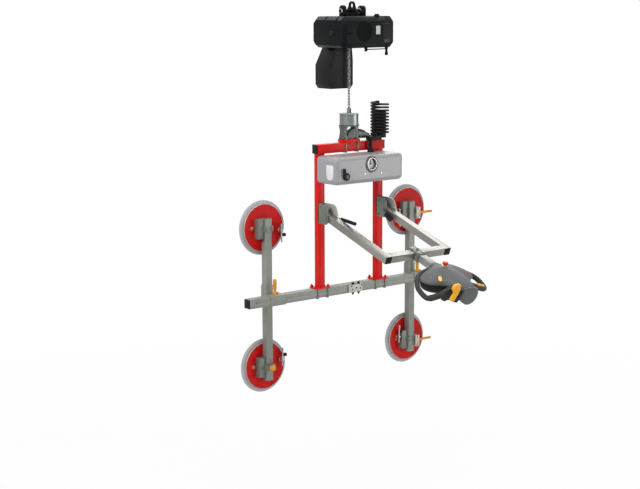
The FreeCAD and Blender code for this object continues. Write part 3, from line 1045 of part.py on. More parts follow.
suspension()
hoist_housing()
motor_cover()
hoist_drive()
hoist_fittings()
chain_box()
load_chain()
swivel()
swivel_yoke()
lifting_frame()
frame_straps()
main_beam()
vacuum_unit()
curly_cable()
for arm_name, arm_x in (("left", ARM_LEFT_X), ("right", ARM_RIGHT_X)):
    cross_arm(arm_name, arm_x)
for pad_name, pad_x, pad_z, pad_hold in (
        ("left_upper", ARM_LEFT_X, "pad_up", "screw"), ("left_lower", ARM_LEFT_X, "-pad_down", "front"),
        ("right_upper", ARM_RIGHT_X, "pad_up", "side"), ("right_lower", ARM_RIGHT_X, "-pad_down", "side")):
    suction_pad(pad_name, pad_x, pad_z, pad_hold)
handle_brackets()
handle_frame()
for lever_name, lever_sign in POST_SIDES:
    lock_lever(lever_name, lever_sign)
control_unit()

doc.recompute()
for thing in doc.Objects:
    if "Invalid" in thing.State or "Error" in thing.State:
        raise RuntimeError(f"{thing.Name} failed: {thing.State}")
for part in nodes:
    if part.Shape.isNull() or not part.Shape.isValid() or not part.Shape.Solids:
        raise RuntimeError(f"{part.Label} has no valid solid")

os.makedirs("parts", exist_ok=True)
for part in nodes:
    part.Shape.exportStep(os.path.join("parts", part.Label + ".step"))
print(len(nodes), "nodes written")
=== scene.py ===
"""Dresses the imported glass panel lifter: finishes, rounded edges, seals, cable and small fittings."""
import json
import math

import bmesh
import bpy
from mathutils import Matrix, Vector

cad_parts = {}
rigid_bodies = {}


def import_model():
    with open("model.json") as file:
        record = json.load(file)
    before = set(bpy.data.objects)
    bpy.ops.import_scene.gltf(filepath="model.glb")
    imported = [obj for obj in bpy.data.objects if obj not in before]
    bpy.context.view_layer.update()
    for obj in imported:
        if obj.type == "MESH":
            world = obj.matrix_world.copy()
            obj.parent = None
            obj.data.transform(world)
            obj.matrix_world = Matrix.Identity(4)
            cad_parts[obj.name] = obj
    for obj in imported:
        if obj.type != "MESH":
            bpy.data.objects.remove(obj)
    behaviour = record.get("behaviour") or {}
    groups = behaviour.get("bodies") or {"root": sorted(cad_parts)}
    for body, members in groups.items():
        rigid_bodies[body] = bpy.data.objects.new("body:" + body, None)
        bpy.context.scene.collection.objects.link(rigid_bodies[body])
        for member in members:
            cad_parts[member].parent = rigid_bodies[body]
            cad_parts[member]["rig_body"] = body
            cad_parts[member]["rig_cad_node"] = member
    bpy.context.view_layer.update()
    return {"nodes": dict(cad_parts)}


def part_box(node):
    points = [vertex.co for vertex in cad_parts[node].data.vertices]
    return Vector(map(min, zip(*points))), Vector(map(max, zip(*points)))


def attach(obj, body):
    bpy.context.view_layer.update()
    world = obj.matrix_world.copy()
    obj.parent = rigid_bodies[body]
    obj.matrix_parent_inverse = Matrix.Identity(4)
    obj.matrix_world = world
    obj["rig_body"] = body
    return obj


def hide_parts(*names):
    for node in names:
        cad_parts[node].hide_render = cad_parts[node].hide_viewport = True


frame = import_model()

# Camera: place in metres; azimuth, elevation and roll in degrees
CAMERA_PLACE = (-5.185, -6.189, 0.0519)
CAMERA_TURN = (-38.67, 9.735, -0.237)
LENS_MM = 81.49
SENSOR_MM = 36.0

MM = 0.001
PADS = ("left_upper", "left_lower", "right_upper", "right_lower")

# Finishes: what the blotches and the grain of all of them share
BLOTCH_DETAIL = 6.0
BLOTCH_EDGES = (0.3, 0.7)
GRAIN_DETAIL = 3.0
GRAIN_DEPTH = 0.4 * MM
ROUGH_SPREAD = (0.8, 1.2)


def srgb(*levels):
    """A colour given in the 0 to 255 levels of a picture, as linear light."""
    return tuple((v / 255 / 12.92) if v < 11 else ((v / 255 + 0.055) / 1.055) ** 2.4 for v in levels)


def feed(tree, node, inputs):
    """Sets inputs of a shader node, each to a value or to what another node gives out."""
    for name, source in inputs.items():
        if isinstance(source, bpy.types.NodeSocket):
            tree.links.new(source, node.inputs[name])
        else:
            node.inputs[name].default_value = source
    return node


def add(tree, kind, inputs=None, **settings):
    """Adds a shader node with these inputs and settings."""
    node = tree.nodes.new(f"ShaderNode{kind}")
    for setting, value in settings.items():
        setattr(node, setting, value)
    return feed(tree, node, inputs or {})


def paint(name, levels, rough, metal=0.0, shade=0.12, grain=(0.0, 900), blotch=14.0, shine=0.3, stretch=(1, 1, 1)):
    """A finish whose colour drifts in soft blotches, with a grain of a strength and a fineness over it."""
    strength, fineness = grain
    made = bpy.data.materials.new(name)
    made.use_nodes = True
    tree = made.node_tree
    place = add(tree, "Mapping", {"Scale": stretch, "Vector": add(tree, "TexCoord").outputs["Object"]})
    drift = add(tree, "TexNoise", {"Scale": blotch, "Detail": BLOTCH_DETAIL, "Vector": place.outputs["Vector"]})
    tones = add(tree, "ValToRGB", {"Fac": drift.outputs["Fac"]})
    for tone, edge, share in zip(tones.color_ramp.elements, BLOTCH_EDGES, (1 - shade, 1 + shade)):
        tone.position = edge
        tone.color = (*(min(1.0, c * share) for c in srgb(*levels)), 1)
    fine = add(tree, "TexNoise", {"Scale": fineness, "Detail": GRAIN_DETAIL, "Vector": place.outputs["Vector"]})
    gloss = add(tree, "MapRange", {"Value": fine.outputs["Fac"], "To Min": rough * ROUGH_SPREAD[0],
                                   "To Max": min(1.0, rough * ROUGH_SPREAD[1])})
    shader = feed(tree, tree.nodes["Principled BSDF"], {
        "Metallic": metal, "Specular IOR Level": shine, "Base Color": tones.outputs["Color"],
        "Roughness": gloss.outputs["Result"]})
    if strength:
        bump = add(tree, "Bump", {"Strength": strength, "Distance": GRAIN_DEPTH, "Height": fine.outputs["Fac"]})
        feed(tree, shader, {"Normal": bump.outputs["Normal"]})
    return made


BLACK_PAINT = paint("hoist_black_paint", (15, 17, 18), 0.5, shade=0.16, grain=(0.15, 700), shine=0.08)
BLACK_PLASTIC = paint("moulded_black_plastic", (26, 26, 25), 0.55, shade=0.14, grain=(0.3, 1100), shine=0.14)
BOX_PLASTIC = paint("chain_box_plastic", (19, 21, 19), 0.5, shade=0.18, grain=(0.35, 900), shine=0.14)
BLACK_RUBBER = paint("black_rubber", (54, 55, 53), 0.6, grain=(0.2, 1500), shine=0.2)
CABLE_RUBBER = paint("cable_rubber", (27, 27, 26), 0.5, shade=0.1, grain=(0.1, 1800), shine=0.12)
RED_PAINT = paint("red_powder_coat", (212, 22, 17), 0.4, shade=0.04, grain=(0.15, 800), shine=0.16)
PAD_RED = paint("pad_red_coat", (198, 20, 20), 0.48, shade=0.05, grain=(0.2, 800), shine=0.14)
BRIGHT_ZINC = paint("bright_zinc", (188, 190, 186), 0.38, metal=0.3, shade=0.05, blotch=60)
# Pale ring round each pad's plate: painted highlight on the plate's edge
PAD_RIM_HIGHLIGHT = paint("pad_rim_painted_highlight", (176, 168, 167), 0.4, metal=0.3, shade=0.05, blotch=60)
ZINC = paint("zinc_tube", (138, 140, 134), 0.55, metal=0.3, shade=0.04, grain=(0.03, 500), blotch=30)
PALE_TUBE = paint("pale_brushed_tube", (146, 145, 140), 0.42, metal=0.72, shade=0.05, grain=(0.02, 420), blotch=40)
STEEL = paint("bright_steel", (164, 165, 163), 0.36, metal=0.9, grain=(0.1, 600), blotch=60)
CHAIN_STEEL = paint("chain_steel", (138, 137, 134), 0.28, metal=0.9, shade=0.35, blotch=120)
DRUM_STEEL = paint("turned_drum_steel", (122, 125, 125), 0.36, metal=0.95, grain=(0.08, 260), stretch=(1, 1, 14))
CAST = paint("cast_grey", (90, 95, 92), 0.48, metal=0.7, shade=0.2, grain=(0.45, 380), blotch=70)
PLATE_GREY = paint("grey_plate", (116, 121, 113), 0.52, metal=0.4, shade=0.07, grain=(0.15, 500))
CASING = paint("vacuum_casing", (156, 156, 158), 0.36, shade=0.04, grain=(0.2, 1200), shine=0.4)
SEAL = paint("seal_rubber", (172, 174, 174), 0.55, shade=0.07, grain=(0.25, 900))
ORANGE = paint("clamp_orange", (214, 146, 40), 0.38, shade=0.1, grain=(0.15, 900))
YELLOW = paint("trigger_yellow", (246, 176, 36), 0.36, shade=0.06, grain=(0.15, 900))
BRASS = paint("brass_plug", (168, 128, 92), 0.35, metal=0.6, shade=0.14, blotch=200)
STOP_RED = paint("stop_button_red", (205, 22, 28), 0.3, shade=0.06)
PALE_YELLOW = paint("stop_base_yellow", (238, 214, 128), 0.4, shade=0.06)
LENS_RIM = paint("selector_rim", (150, 66, 40), 0.45, shade=0.1, grain=(0.2, 900))
SHELL = paint("control_shell", (100, 101, 102), 0.55, shade=0.06, grain=(0.1, 1300), shine=0.2)
# Dark lower tray: partly its own dark plastic, partly painted shade under the shell's rim
TRAY_DARK_AND_SHADE = paint("control_tray_dark_and_shade", (34, 35, 35), 0.55, shade=0.1, grain=(0.2, 1300), shine=0.15)
# Pale grey on the raised seams: painted highlight along them and along the nose's top edge
SEAM_HIGHLIGHT = paint("shell_seam_highlight", (160, 162, 162), 0.5, shade=0.06)
IRON = paint("motor_iron", (90, 90, 88), 0.55, metal=0.5, shade=0.2)
DIAL_WHITE = paint("dial_white", (226, 226, 222), 0.35, shade=0.02)
DIAL_SURROUND = paint("gauge_surround", (84, 84, 84), 0.45, shade=0.1, grain=(0.2, 900))
# A darker copy of the hoist's black paint: painted shade of the round recess in its front
RECESS_SHADE = paint("recess_painted_shade", (13, 15, 16), 0.6, shade=0.2, shine=0.05)
# Lighter grey over the black housing: painted highlight on its chamfers and along its end panel's edge
HIGHLIGHT_GREY = paint("painted_highlight_grey", (60, 63, 64), 0.5, shade=0.2, grain=(0.2, 900), shine=0.2)
BLOCK_PALE = paint("pale_clamp_block", (176, 170, 154), 0.45, metal=0.3, shade=0.1, blotch=90)
PLATE_WHITE = paint("bare_white_plate", (228, 229, 233), 0.35, shade=0.02)
BARE_PLATE = paint("bare_light_plate", (196, 196, 186), 0.4, shade=0.05)
# Near-black: painted shade inside slots, holes, notches and the chain holes' mouths
SHADE_BLACK = paint("painted_shade_black", (16, 16, 16), 0.8, shade=0.2, shine=0.05)

# Finishes of the carried-over solids
NODE_FINISH = {
    BLACK_PAINT: ("hoist_housing", "motor_cover", "suspension_eye", "suspension_pin", "hoist_fittings", "gauge_needle"),
    BOX_PLASTIC: ("chain_box",),
    BLACK_PLASTIC: ("tube_end_caps", "handle_end_caps", "left_lock_lever", "right_lock_lever", "cable_bracket",
                    "cable_connector", "vacuum_valve_lever"),
    DRUM_STEEL: ("swivel_stem", "swivel_housing", "chain_wheel", "drive_gear"),
    IRON: ("motor_stator", "motor_rotor", "vacuum_pump"),
    CHAIN_STEEL: ("load_chain",),
    CAST: ("swivel_yoke",),
    STEEL: ("valve_manifold", "left_upper_pad_clamp"),
    PLATE_GREY: ("handle_brackets", "frame_straps", "handle_clamp", *(f"{pad}_pad_bracket" for pad in PADS)),
    RED_PAINT: ("lifting_frame",),
    PAD_RED: tuple(f"{pad}_pad_plate" for pad in PADS),
    SEAL: tuple(f"{pad}_pad_seal" for pad in PADS),
    ZINC: ("main_beam", "left_cross_arm", "right_cross_arm"),
    PALE_TUBE: ("handle_frame", "extension_tube"),
    CASING: ("vacuum_housing",),
    DIAL_WHITE: ("gauge_case",),
    BLACK_RUBBER: ("curly_cable", "control_grips"),
    ORANGE: ("left_arm_clamp", "right_arm_clamp", "left_lower_pad_clamp", "right_upper_pad_clamp",
             "right_lower_pad_clamp"),
    YELLOW: ("left_trigger", "right_trigger", "selector_button"),
    STOP_RED: ("stop_button",),
    SHELL: ("control_housing",),
}


def finish_nodes():
    """Every carried-over solid gets its finish."""
    for finish, names in NODE_FINISH.items():
        for name in names:
            mesh = frame["nodes"][name].data
            mesh.materials.clear()
            mesh.materials.append(finish)


# Camera, light and floor

# Each lamp: name, place, what it points at, width, power in watts
LAMPS = (
    ("overhead_lamp", (-0.4, -0.8, 3.6), (0.0, -0.2, -1.2), 3.0, 115.0),
    ("left_lamp", (-5.2, -1.4, 1.6), (0.0, 0.0, -1.0), 2.5, 185.0),
    ("right_lamp", (3.9, -4.7, -1.25), (0.0, 0.0, -1.4), 1.7, 88.0),
    ("back_lamp", (3.4, 2.6, 2.0), (0.0, -0.3, -1.1), 4.0, 115.0),
)
WHITE = (1.0, 1.0, 1.0, 1.0)
FILL_LIGHT = 0.3
FLOOR_Z = -2.86
FLOOR_ACROSS = 60.0
FLOOR_GREY = (0.85, 0.85, 0.85, 1.0)
FLOOR_ROUGH = 0.9
# Distances in metres over which the floor turns plain white, and how white it is under the object
FADE_START, FADE_END, FADE_LEAST = 1.0, 5.0, 0.92


def photo_camera():
    """The camera stands where the photograph was taken from."""
    azimuth, elevation, roll = (math.radians(turn) for turn in CAMERA_TURN)
    bpy.ops.object.camera_add()
    camera = bpy.context.object
    camera.data.lens = LENS_MM
    camera.data.sensor_width = SENSOR_MM
    turn = Matrix.Rotation(azimuth, 4, "Z") @ Matrix.Rotation(math.pi / 2 - elevation, 4, "X")
    camera.matrix_world = Matrix.Translation(CAMERA_PLACE) @ turn @ Matrix.Rotation(roll, 4, "Z")
    bpy.context.scene.camera = camera


def seen_directly(tree):
    """1 on rays from the camera, off shiny surfaces and through clear ones, otherwise 0."""
    ways = add(tree, "LightPath").outputs
    either = add(tree, "Math", {0: ways["Is Camera Ray"], 1: ways["Is Glossy Ray"]}, operation="MAXIMUM")
    every = add(tree, "Math", {0: either.outputs["Value"], 1: ways["Is Transmission Ray"]}, operation="MAXIMUM")
    return every.outputs["Value"]


def mixed(tree, share, first, second, end):
    """Mixes two shaders by a share and leads the mix to the end of the tree."""
    mix = add(tree, "MixShader", {"Fac": share, 1: first, 2: second})
    feed(tree, tree.nodes[end], {"Surface": mix.outputs["Shader"]})


def studio():
    """White surroundings, a pale floor under the hanging lifter, and soft lamps round it."""
    world = bpy.data.worlds.new("studio")
    bpy.context.scene.world = world
    world.use_nodes = True
    tree = world.node_tree
    fill = feed(tree, tree.nodes["Background"], {"Color": WHITE, "Strength": FILL_LIGHT})
    white = add(tree, "Background", {"Color": WHITE, "Strength": 1.0})
    mixed(tree, seen_directly(tree), fill.outputs["Background"], white.outputs["Background"], "World Output")

    bpy.ops.mesh.primitive_plane_add(size=FLOOR_ACROSS, location=(0.0, 0.0, FLOOR_Z))
    floor = bpy.context.object
    floor.name = "floor"
    pale = bpy.data.materials.new("pale_floor")
    pale.use_nodes = True
    tree = pale.node_tree
    matt = feed(tree, tree.nodes["Principled BSDF"], {"Base Color": FLOOR_GREY, "Roughness": FLOOR_ROUGH})
    glow = add(tree, "Emission", {"Color": WHITE})
    far = add(tree, "VectorMath", {0: add(tree, "TexCoord").outputs["Object"]}, operation="LENGTH")
    fade = add(tree, "MapRange", {"Value": far.outputs["Value"], "From Min": FADE_START, "From Max": FADE_END,
                                  "To Min": FADE_LEAST})
    shown = add(tree, "Math", {0: fade.outputs["Result"], 1: seen_directly(tree)}, operation="MULTIPLY")
    mixed(tree, shown.outputs["Value"], matt.outputs["BSDF"], glow.outputs["Emission"], "Material Output")
    floor.data.materials.append(pale)

    for name, place, aim, wide, power in LAMPS:
        bpy.ops.object.light_add(type="AREA", location=place)
        lamp = bpy.context.object
        lamp.name = name
        lamp.data.shape = "DISK"
        lamp.data.size = wide
        lamp.data.energy = power
        lamp.rotation_euler = (Vector(aim) - Vector(place)).to_track_quat("-Z", "Y").to_euler()
    bpy.context.scene.view_settings.view_transform = "Standard"


# Modelling steps

# How near corners are merged, how flat neighbouring faces are joined, and the angle past which an edge stays sharp
SOLID_MERGE = 0.005 * MM
RING_MERGE = 0.01 * MM
FLAT_DEGREES = 0.5
SHARP_DEGREES = 35.0


def clear():
    """Deselects everything, so that the next operator acts on nothing else."""
    bpy.ops.object.select_all(action="DESELECT")


def take(*pieces):
    """Selects these pieces and no others, the first of them as the active one."""
    clear()
    for piece in pieces:
        piece.select_set(True)
    bpy.context.view_layer.objects.active = pieces[0]


def named(name):
    """Names the piece that was just added and puts its place into its mesh."""
    piece = bpy.context.object
    piece.name = piece.data.name = name
    bpy.ops.object.transform_apply(location=True, rotation=True, scale=True)
    return piece


def edit(piece):
    """Opens a piece for editing, with all of it selected."""
    take(piece)
    bpy.ops.object.mode_set(mode="EDIT")
    bpy.ops.mesh.select_all(action="SELECT")


def draw(rise):
    """Draws what is selected up by so many metres, with walls."""
    bpy.ops.mesh.extrude_region_move(TRANSFORM_OT_translate={"value": (0.0, 0.0, rise)})


def close_up(merge=0.0):
    """Merges corners that are near enough, turns every face outward and ends the editing."""
    bpy.ops.mesh.select_all(action="SELECT")
    if merge:
        bpy.ops.mesh.remove_doubles(threshold=merge)
    bpy.ops.mesh.normals_make_consistent(inside=False)
    bpy.ops.object.mode_set(mode="OBJECT")


def apply(piece, kind, **settings):
    """Adds a modifier with these settings and applies it."""
    take(piece)
    modifier = piece.modifiers.new(kind.lower(), kind)
    for setting, value in settings.items():
        setattr(modifier, setting, value)
    bpy.ops.object.modifier_apply(modifier=modifier.name)
    return piece


def round_edges(piece, width, steps=2, angle=30.0):
    """Rounds the edges that are sharper than an angle in degrees."""
    return apply(piece, "BEVEL", width=width, segments=steps, limit_method="ANGLE", angle_limit=math.radians(angle),
                 use_clamp_overlap=True)


def smooth(piece, angle=SHARP_DEGREES):
    """Shades a piece smoothly, apart from edges sharper than an angle in degrees."""
    take(piece)
    bpy.ops.object.shade_smooth_by_angle(angle=math.radians(angle))
    return piece


def dress(piece, finish, body, slot, *stands_for):
    """Gives a finished piece its finish, the body that it moves with and the solids that it stands for; its slot is not
    used.
    """
    piece.data.materials.clear()
    piece.data.materials.append(finish)
    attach(piece, body)
    if stands_for:
        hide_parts(*stands_for)
    return piece


def nurbs_line(name, points, radius, steps, sides):
    """A round line that runs softly along points, in metres."""
    line = bpy.data.curves.new(name, "CURVE")
    line.dimensions = "3D"
    line.resolution_u = steps
    line.bevel_depth = radius
    line.bevel_resolution = sides
    spline = line.splines.new("NURBS")
    spline.points.add(len(points) - 1)
    for point, place in zip(spline.points, points):
        point.co = (*place, 1.0)
    spline.order_u = 3
    spline.use_endpoint_u = True
    made = bpy.data.objects.new(name, line)
    bpy.context.scene.collection.objects.link(made)
    return made


# The curly cable, whose turns follow the solid's: clockwise and evenly up, level at both ends
COIL_AXIS = (0.196, -0.010)
COIL_START_Z = -0.71695
COIL_RADIUS = 0.048
COIL_PITCH = 0.0175
COIL_TURNS = 10.25
COIL_EASE = 0.25
COIL_STEPS = 16
CABLE_ACROSS = 0.0115


def coil_height(turn):
    """How far the cable has risen after so many turns, in metres."""
    if turn <= COIL_EASE:
        return COIL_PITCH * turn * turn / (2 * COIL_EASE)
    past = max(0.0, turn - COIL_TURNS + COIL_EASE)
    return COIL_PITCH * (turn - COIL_EASE / 2 - past * past / (2 * COIL_EASE))


def curly_cable():
    """One NURBS line: straight out of its boss, round its turns, and straight into its connector."""
    reach = COIL_RADIUS / math.cos(math.pi / COIL_STEPS)
    axis = Vector((*COIL_AXIS, COIL_START_Z))
    start = axis + Vector((-COIL_RADIUS, -CABLE_ACROSS, 0.0))
    end = axis + Vector((CABLE_ACROSS, COIL_RADIUS, coil_height(COIL_TURNS)))
    points = [start]
    for step in range(int(COIL_TURNS * COIL_STEPS)):
        turn = (step + 0.5) / COIL_STEPS
        angle = math.pi - math.tau * turn
        points.append(axis + Vector((reach * math.cos(angle), reach * math.sin(angle), coil_height(turn))))
    points.append(end)
    cord = nurbs_line("curly_cable_cord", points, CABLE_ACROSS / 2, 4, 3)
    cord.data.materials.append(CABLE_RUBBER)
    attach(cord, "lifter")
    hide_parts("curly_cable")


# Turns that face a piece modelled at the origin one way: its across, up and out directions
FACING = {
    "x": ((0, 1, 0), (0, 0, 1), (1, 0, 0)), "-x": ((0, -1, 0), (0, 0, 1), (-1, 0, 0)),
    "y": ((-1, 0, 0), (0, 0, 1), (0, 1, 0)), "-y": ((1, 0, 0), (0, 0, 1), (0, -1, 0)),
    "z": ((1, 0, 0), (0, 1, 0), (0, 0, 1)), "-z": ((1, 0, 0), (0, -1, 0), (0, 0, -1)),
}
LEVEL = Matrix.Identity(4)
# The handle's own frame hangs on its pivot and slopes down; the control unit's starts at its root
UNIT_TILT = math.radians(19.2)
HANDLE = Matrix.Translation((-0.022, -0.086, -1.146)) @ Matrix.Rotation(UNIT_TILT, 4, "X")
UNIT = HANDLE @ Matrix.Translation((0.0, -0.640, 0.0))


def stand(piece, place, facing="z", base=LEVEL):
    """Turns a piece modelled at the origin to face one way, at a place in millimetres."""
    turn = Matrix(FACING[facing]).transposed().to_4x4()
    piece.data.transform(base @ Matrix.Translation(Vector(place) * MM) @ turn)
    piece.data.update()
    return piece


def draw_out(radius_and_height, sides, filled):
    """Rings of radius and height in millimetres, each drawn out from the one before."""
    (radius, height), *rest = radius_and_height
    clear()
    bpy.ops.mesh.primitive_circle_add(vertices=sides, radius=radius * MM, fill_type="NGON" if filled else "NOTHING",
                                      location=(0.0, 0.0, height * MM))
    piece = named("ring_stack")
    edit(piece)
    for wider, higher in rest:
        draw((higher - height) * MM)
        bpy.ops.transform.resize(value=(wider / radius, wider / radius, 1.0), center_override=(0.0, 0.0, higher * MM))
        radius, height = wider, higher
    close_up(0.0 if filled else RING_MERGE)
    return piece


def turned(name, rings, place, facing="z", base=LEVEL, sides=40, filled=True):
    """A turned piece, solid unless it is said to be open."""
    piece = stand(draw_out(rings, sides, filled), place, facing, base)
    piece.name = piece.data.name = name
    return smooth(piece)


def turned_ring(name, rings, place, facing="z", base=LEVEL, sides=56):
    """A turned ring, open in the middle."""
    return turned(name, [*rings, rings[0]], place, facing, base, sides, filled=False)


def slab(name, low, high, edge, base=LEVEL, steps=3):
    """A block between two corners in millimetres, with rounded edges."""
    clear()
    low, high = Vector(low) * MM, Vector(high) * MM
    bpy.ops.mesh.primitive_cube_add(size=1.0, location=(low + high) / 2, scale=high - low)
    piece = named(name)
    piece.data.transform(base)
    return smooth(round_edges(piece, edge * MM, steps))


def cut_plate(name, corners, thick, place, facing="-y", edge=1.0, base=LEVEL, steps=2):
    """A plate of one outline, given across and up in millimetres, drawn out to its thickness."""
    clear()
    bpy.ops.mesh.primitive_circle_add(vertices=len(corners), radius=MM, fill_type="NGON")
    piece = named(name)
    for corner, (across, up) in zip(piece.data.vertices, corners):
        corner.co = (across * MM, up * MM, 0.0)
    edit(piece)
    draw(thick * MM)
    close_up()
    stand(piece, place, facing, base)
    return smooth(round_edges(piece, edge * MM, steps))


def bent_rod(name, points, radius, base=LEVEL, sides=3):
    """A round rod along points in millimetres, softly bent at each."""
    rod = nurbs_line(name, [Vector(place) * MM for place in points], radius * MM, 6, sides)
    rod.data.use_fill_caps = True
    take(rod)
    bpy.ops.object.convert(target="MESH")
    piece = bpy.context.object
    piece.data.transform(base)
    return smooth(piece)


def join(name, pieces):
    """Several parts made into one piece."""
    take(*pieces)
    bpy.ops.object.join()
    whole = bpy.context.object
    whole.name = whole.data.name = name
    return whole


def repeat(piece, steps):
    """A piece and its copies, each a step in millimetres away, as one."""
    every = [piece]
    for step in steps:
        again = piece.copy()
        again.data = piece.data.copy()
        bpy.context.scene.collection.objects.link(again)
        again.data.transform(Matrix.Translation(Vector(step) * MM))
        every.append(again)
    return join(piece.name, every)


def hex_bolt(name, radius, tall, place, facing="z", base=LEVEL):
    """A hexagon head with a chamfered top."""
    return turned(name, ((radius, 0.0), (radius, tall * 0.75), (radius * 0.8, tall)), place, facing, base, sides=6)


# Solids that stay as they are apart from rounded edges: node, edge width in millimetres, finish, body, slot
ROUNDED = (
    ("motor_cover", 3.0, BLACK_PAINT, "hoist", "black_metal"),
    ("chain_box", 5.0, BOX_PLASTIC, "hoist", "black_plastic"),
    ("suspension_eye", 3.0, BLACK_PAINT, "hoist", "black_metal"),
    ("lifting_frame", 2.5, RED_PAINT, "lifter", "red_paint"),
    ("frame_straps", 0.8, PLATE_GREY, "lifter", "steel"),
    ("main_beam", 3.0, ZINC, "lifter", "grey_tube"),
    ("tube_end_caps", 2.0, BLACK_PLASTIC, "lifter", "black_plastic"),
    ("left_cross_arm", 2.0, ZINC, "left_arm", "grey_tube"),
    ("right_cross_arm", 2.0, ZINC, "right_arm", "grey_tube"),
    ("handle_frame", 3.5, PALE_TUBE, "handle", "light_tube"),
    ("handle_end_caps", 3.0, BLACK_PLASTIC, "handle", "black_plastic"),
    ("handle_clamp", 2.0, PLATE_GREY, "handle", "steel"),
    ("extension_tube", 3.5, PALE_TUBE, "control", "light_tube"),
    ("cable_bracket", 2.5, BLACK_PLASTIC, "lifter", "black_plastic"),
    *((f"{pad}_pad_bracket", 2.0, PLATE_GREY, f"{pad}_pad", "steel") for pad in PADS),
)


def rounded_solids():
    """Each of these solids again, merged and with its edges rounded, to stand in its place."""
    for node, width, finish, body, slot in ROUNDED:
        piece = frame["nodes"][node].copy()
        piece.data = piece.data.copy()
        piece.parent = None
        piece.name = f"{node}_rounded"
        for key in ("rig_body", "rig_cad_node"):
            del piece[key]
        bpy.context.scene.collection.objects.link(piece)
        edit(piece)
        bpy.ops.mesh.remove_doubles(threshold=SOLID_MERGE)
        bpy.ops.mesh.dissolve_limited(angle_limit=math.radians(FLAT_DEGREES))
        bpy.ops.object.mode_set(mode="OBJECT")
        dress(smooth(round_edges(piece, width * MM)), finish, body, slot, node)


def arc(radius, start, step, count, middle=(0.0, 0.0), tall=None):
    """Corners along an arc in millimetres, from a start in degrees and in even steps."""
    turns = [math.radians(start + step * k) for k in range(count)]
    return [(middle[0] + radius * math.cos(t), middle[1] + (tall or radius) * math.sin(t)) for t in turns]


def half_ring(radius, middle=(0.0, 0.0)):
    """Corners of a half circle, from one side over the top to the other."""
    return arc(radius, 0, 18, 11, middle)


def turned_slab(name, low, high, edge, place, turn):
    """A rounded block turned round the Y axis, at a place in millimetres."""
    base = Matrix.Translation(Vector(place) * MM) @ Matrix.Rotation(math.radians(turn), 4, "Y")
    return slab(name, low, high, edge, base)


def lofted(name, levels):
    """A shell drawn up level by level, each with as many corners as the one before."""
    clear()
    bpy.ops.mesh.primitive_circle_add(vertices=len(levels[0]), radius=MM, fill_type="NGON")
    piece = named(name)
    for vertex, corner in zip(piece.data.vertices, levels[0]):
        vertex.co = corner * MM
    edit(piece)
    for before, after in zip(levels, levels[1:]):
        draw(0.0)
        mesh = bmesh.from_edit_mesh(piece.data)
        for vertex in mesh.verts:
            if vertex.select:
                nearest = min(range(len(before)), key=lambda k: (before[k] * MM - vertex.co).length)
                vertex.co = after[nearest] * MM
        bmesh.update_edit_mesh(piece.data)
    close_up()
    return piece


# From here on, places and sizes are in millimetres

# Hoist: planes of the housing, its chamfers, its sloping left end, the chain's line and the cross pin's height
HOIST_LEFT, HOIST_FRONT, HOIST_BACK, HOIST_FOOT, HOIST_TOP = -168, -132, 132, -229, -58
CHAMFER, CHAMFER_DRAFT = 26, 0.4
SLOPE_X, SLOPE_Z, SLOPE_DEGREES = -157, -69, -45
CHAIN_X, PIN_Z = -22, -29
STOP_Y, STOP_ROD_Z = -100, -238
MOUTH_RINGS = ((7, -1), (14, -1), (14, 1.5), (12.5, 2.5), (9, 2.5))
WASHER_RINGS = ((16, 0), (16, 2.2), (14.5, 3))
GLAND_RINGS = ((16, 0), (16, 5), (14.5, 6), (12, 6), (12, 10.5), (10, 12), (5, 12))
SHORT_PLUG_RINGS = ((9, -1), (9, 5), (7.6, 6), (7.6, 14), (9, 15), (9, 18), (6, 20))
LONG_PLUG_RINGS = ((9, -1), (9, 6), (7, 8), (7, 28), (9, 30), (9, 40), (6, 44))


def hoist_ring(x, over=0.0, under=0.0, front=0.0):
    """The housing's eight-sided section at one place along it, drawn in over, under and in front."""
    near, far, low, high = HOIST_FRONT + front, HOIST_BACK, HOIST_FOOT + under, HOIST_TOP - over
    top, foot = CHAMFER - over * CHAMFER_DRAFT, CHAMFER - under * CHAMFER_DRAFT
    corners = ((near, low + foot), (near, high - top), (near + top, high), (far - top, high),
               (far, high - top), (far, low + foot), (far - foot, low), (near + foot, low))
    return [Vector((x, y, z)) for y, z in corners]


def hoist_shell():
    """The housing with its left end chamfered, and the two suspension ears."""
    shell = lofted("hoist_shell", [hoist_ring(HOIST_LEFT, 22, 16, 12), hoist_ring(-146), hoist_ring(139)])
    smooth(round_edges(shell, 2.5 * MM, 2, 20.0))
    ears = [cut_plate(name, [(-21, -2), (21, -2), *half_ring(20, (0, rise))], thick, (x, 0, HOIST_TOP), "x", 2.5)
            for name, x, rise, thick in (("left_ear", -76, 40, 22), ("right_ear", 55, 37, 30))]
    dress(join("hoist_shell", [shell, *ears]), BLACK_PAINT, "hoist", "black_metal", "hoist_housing")


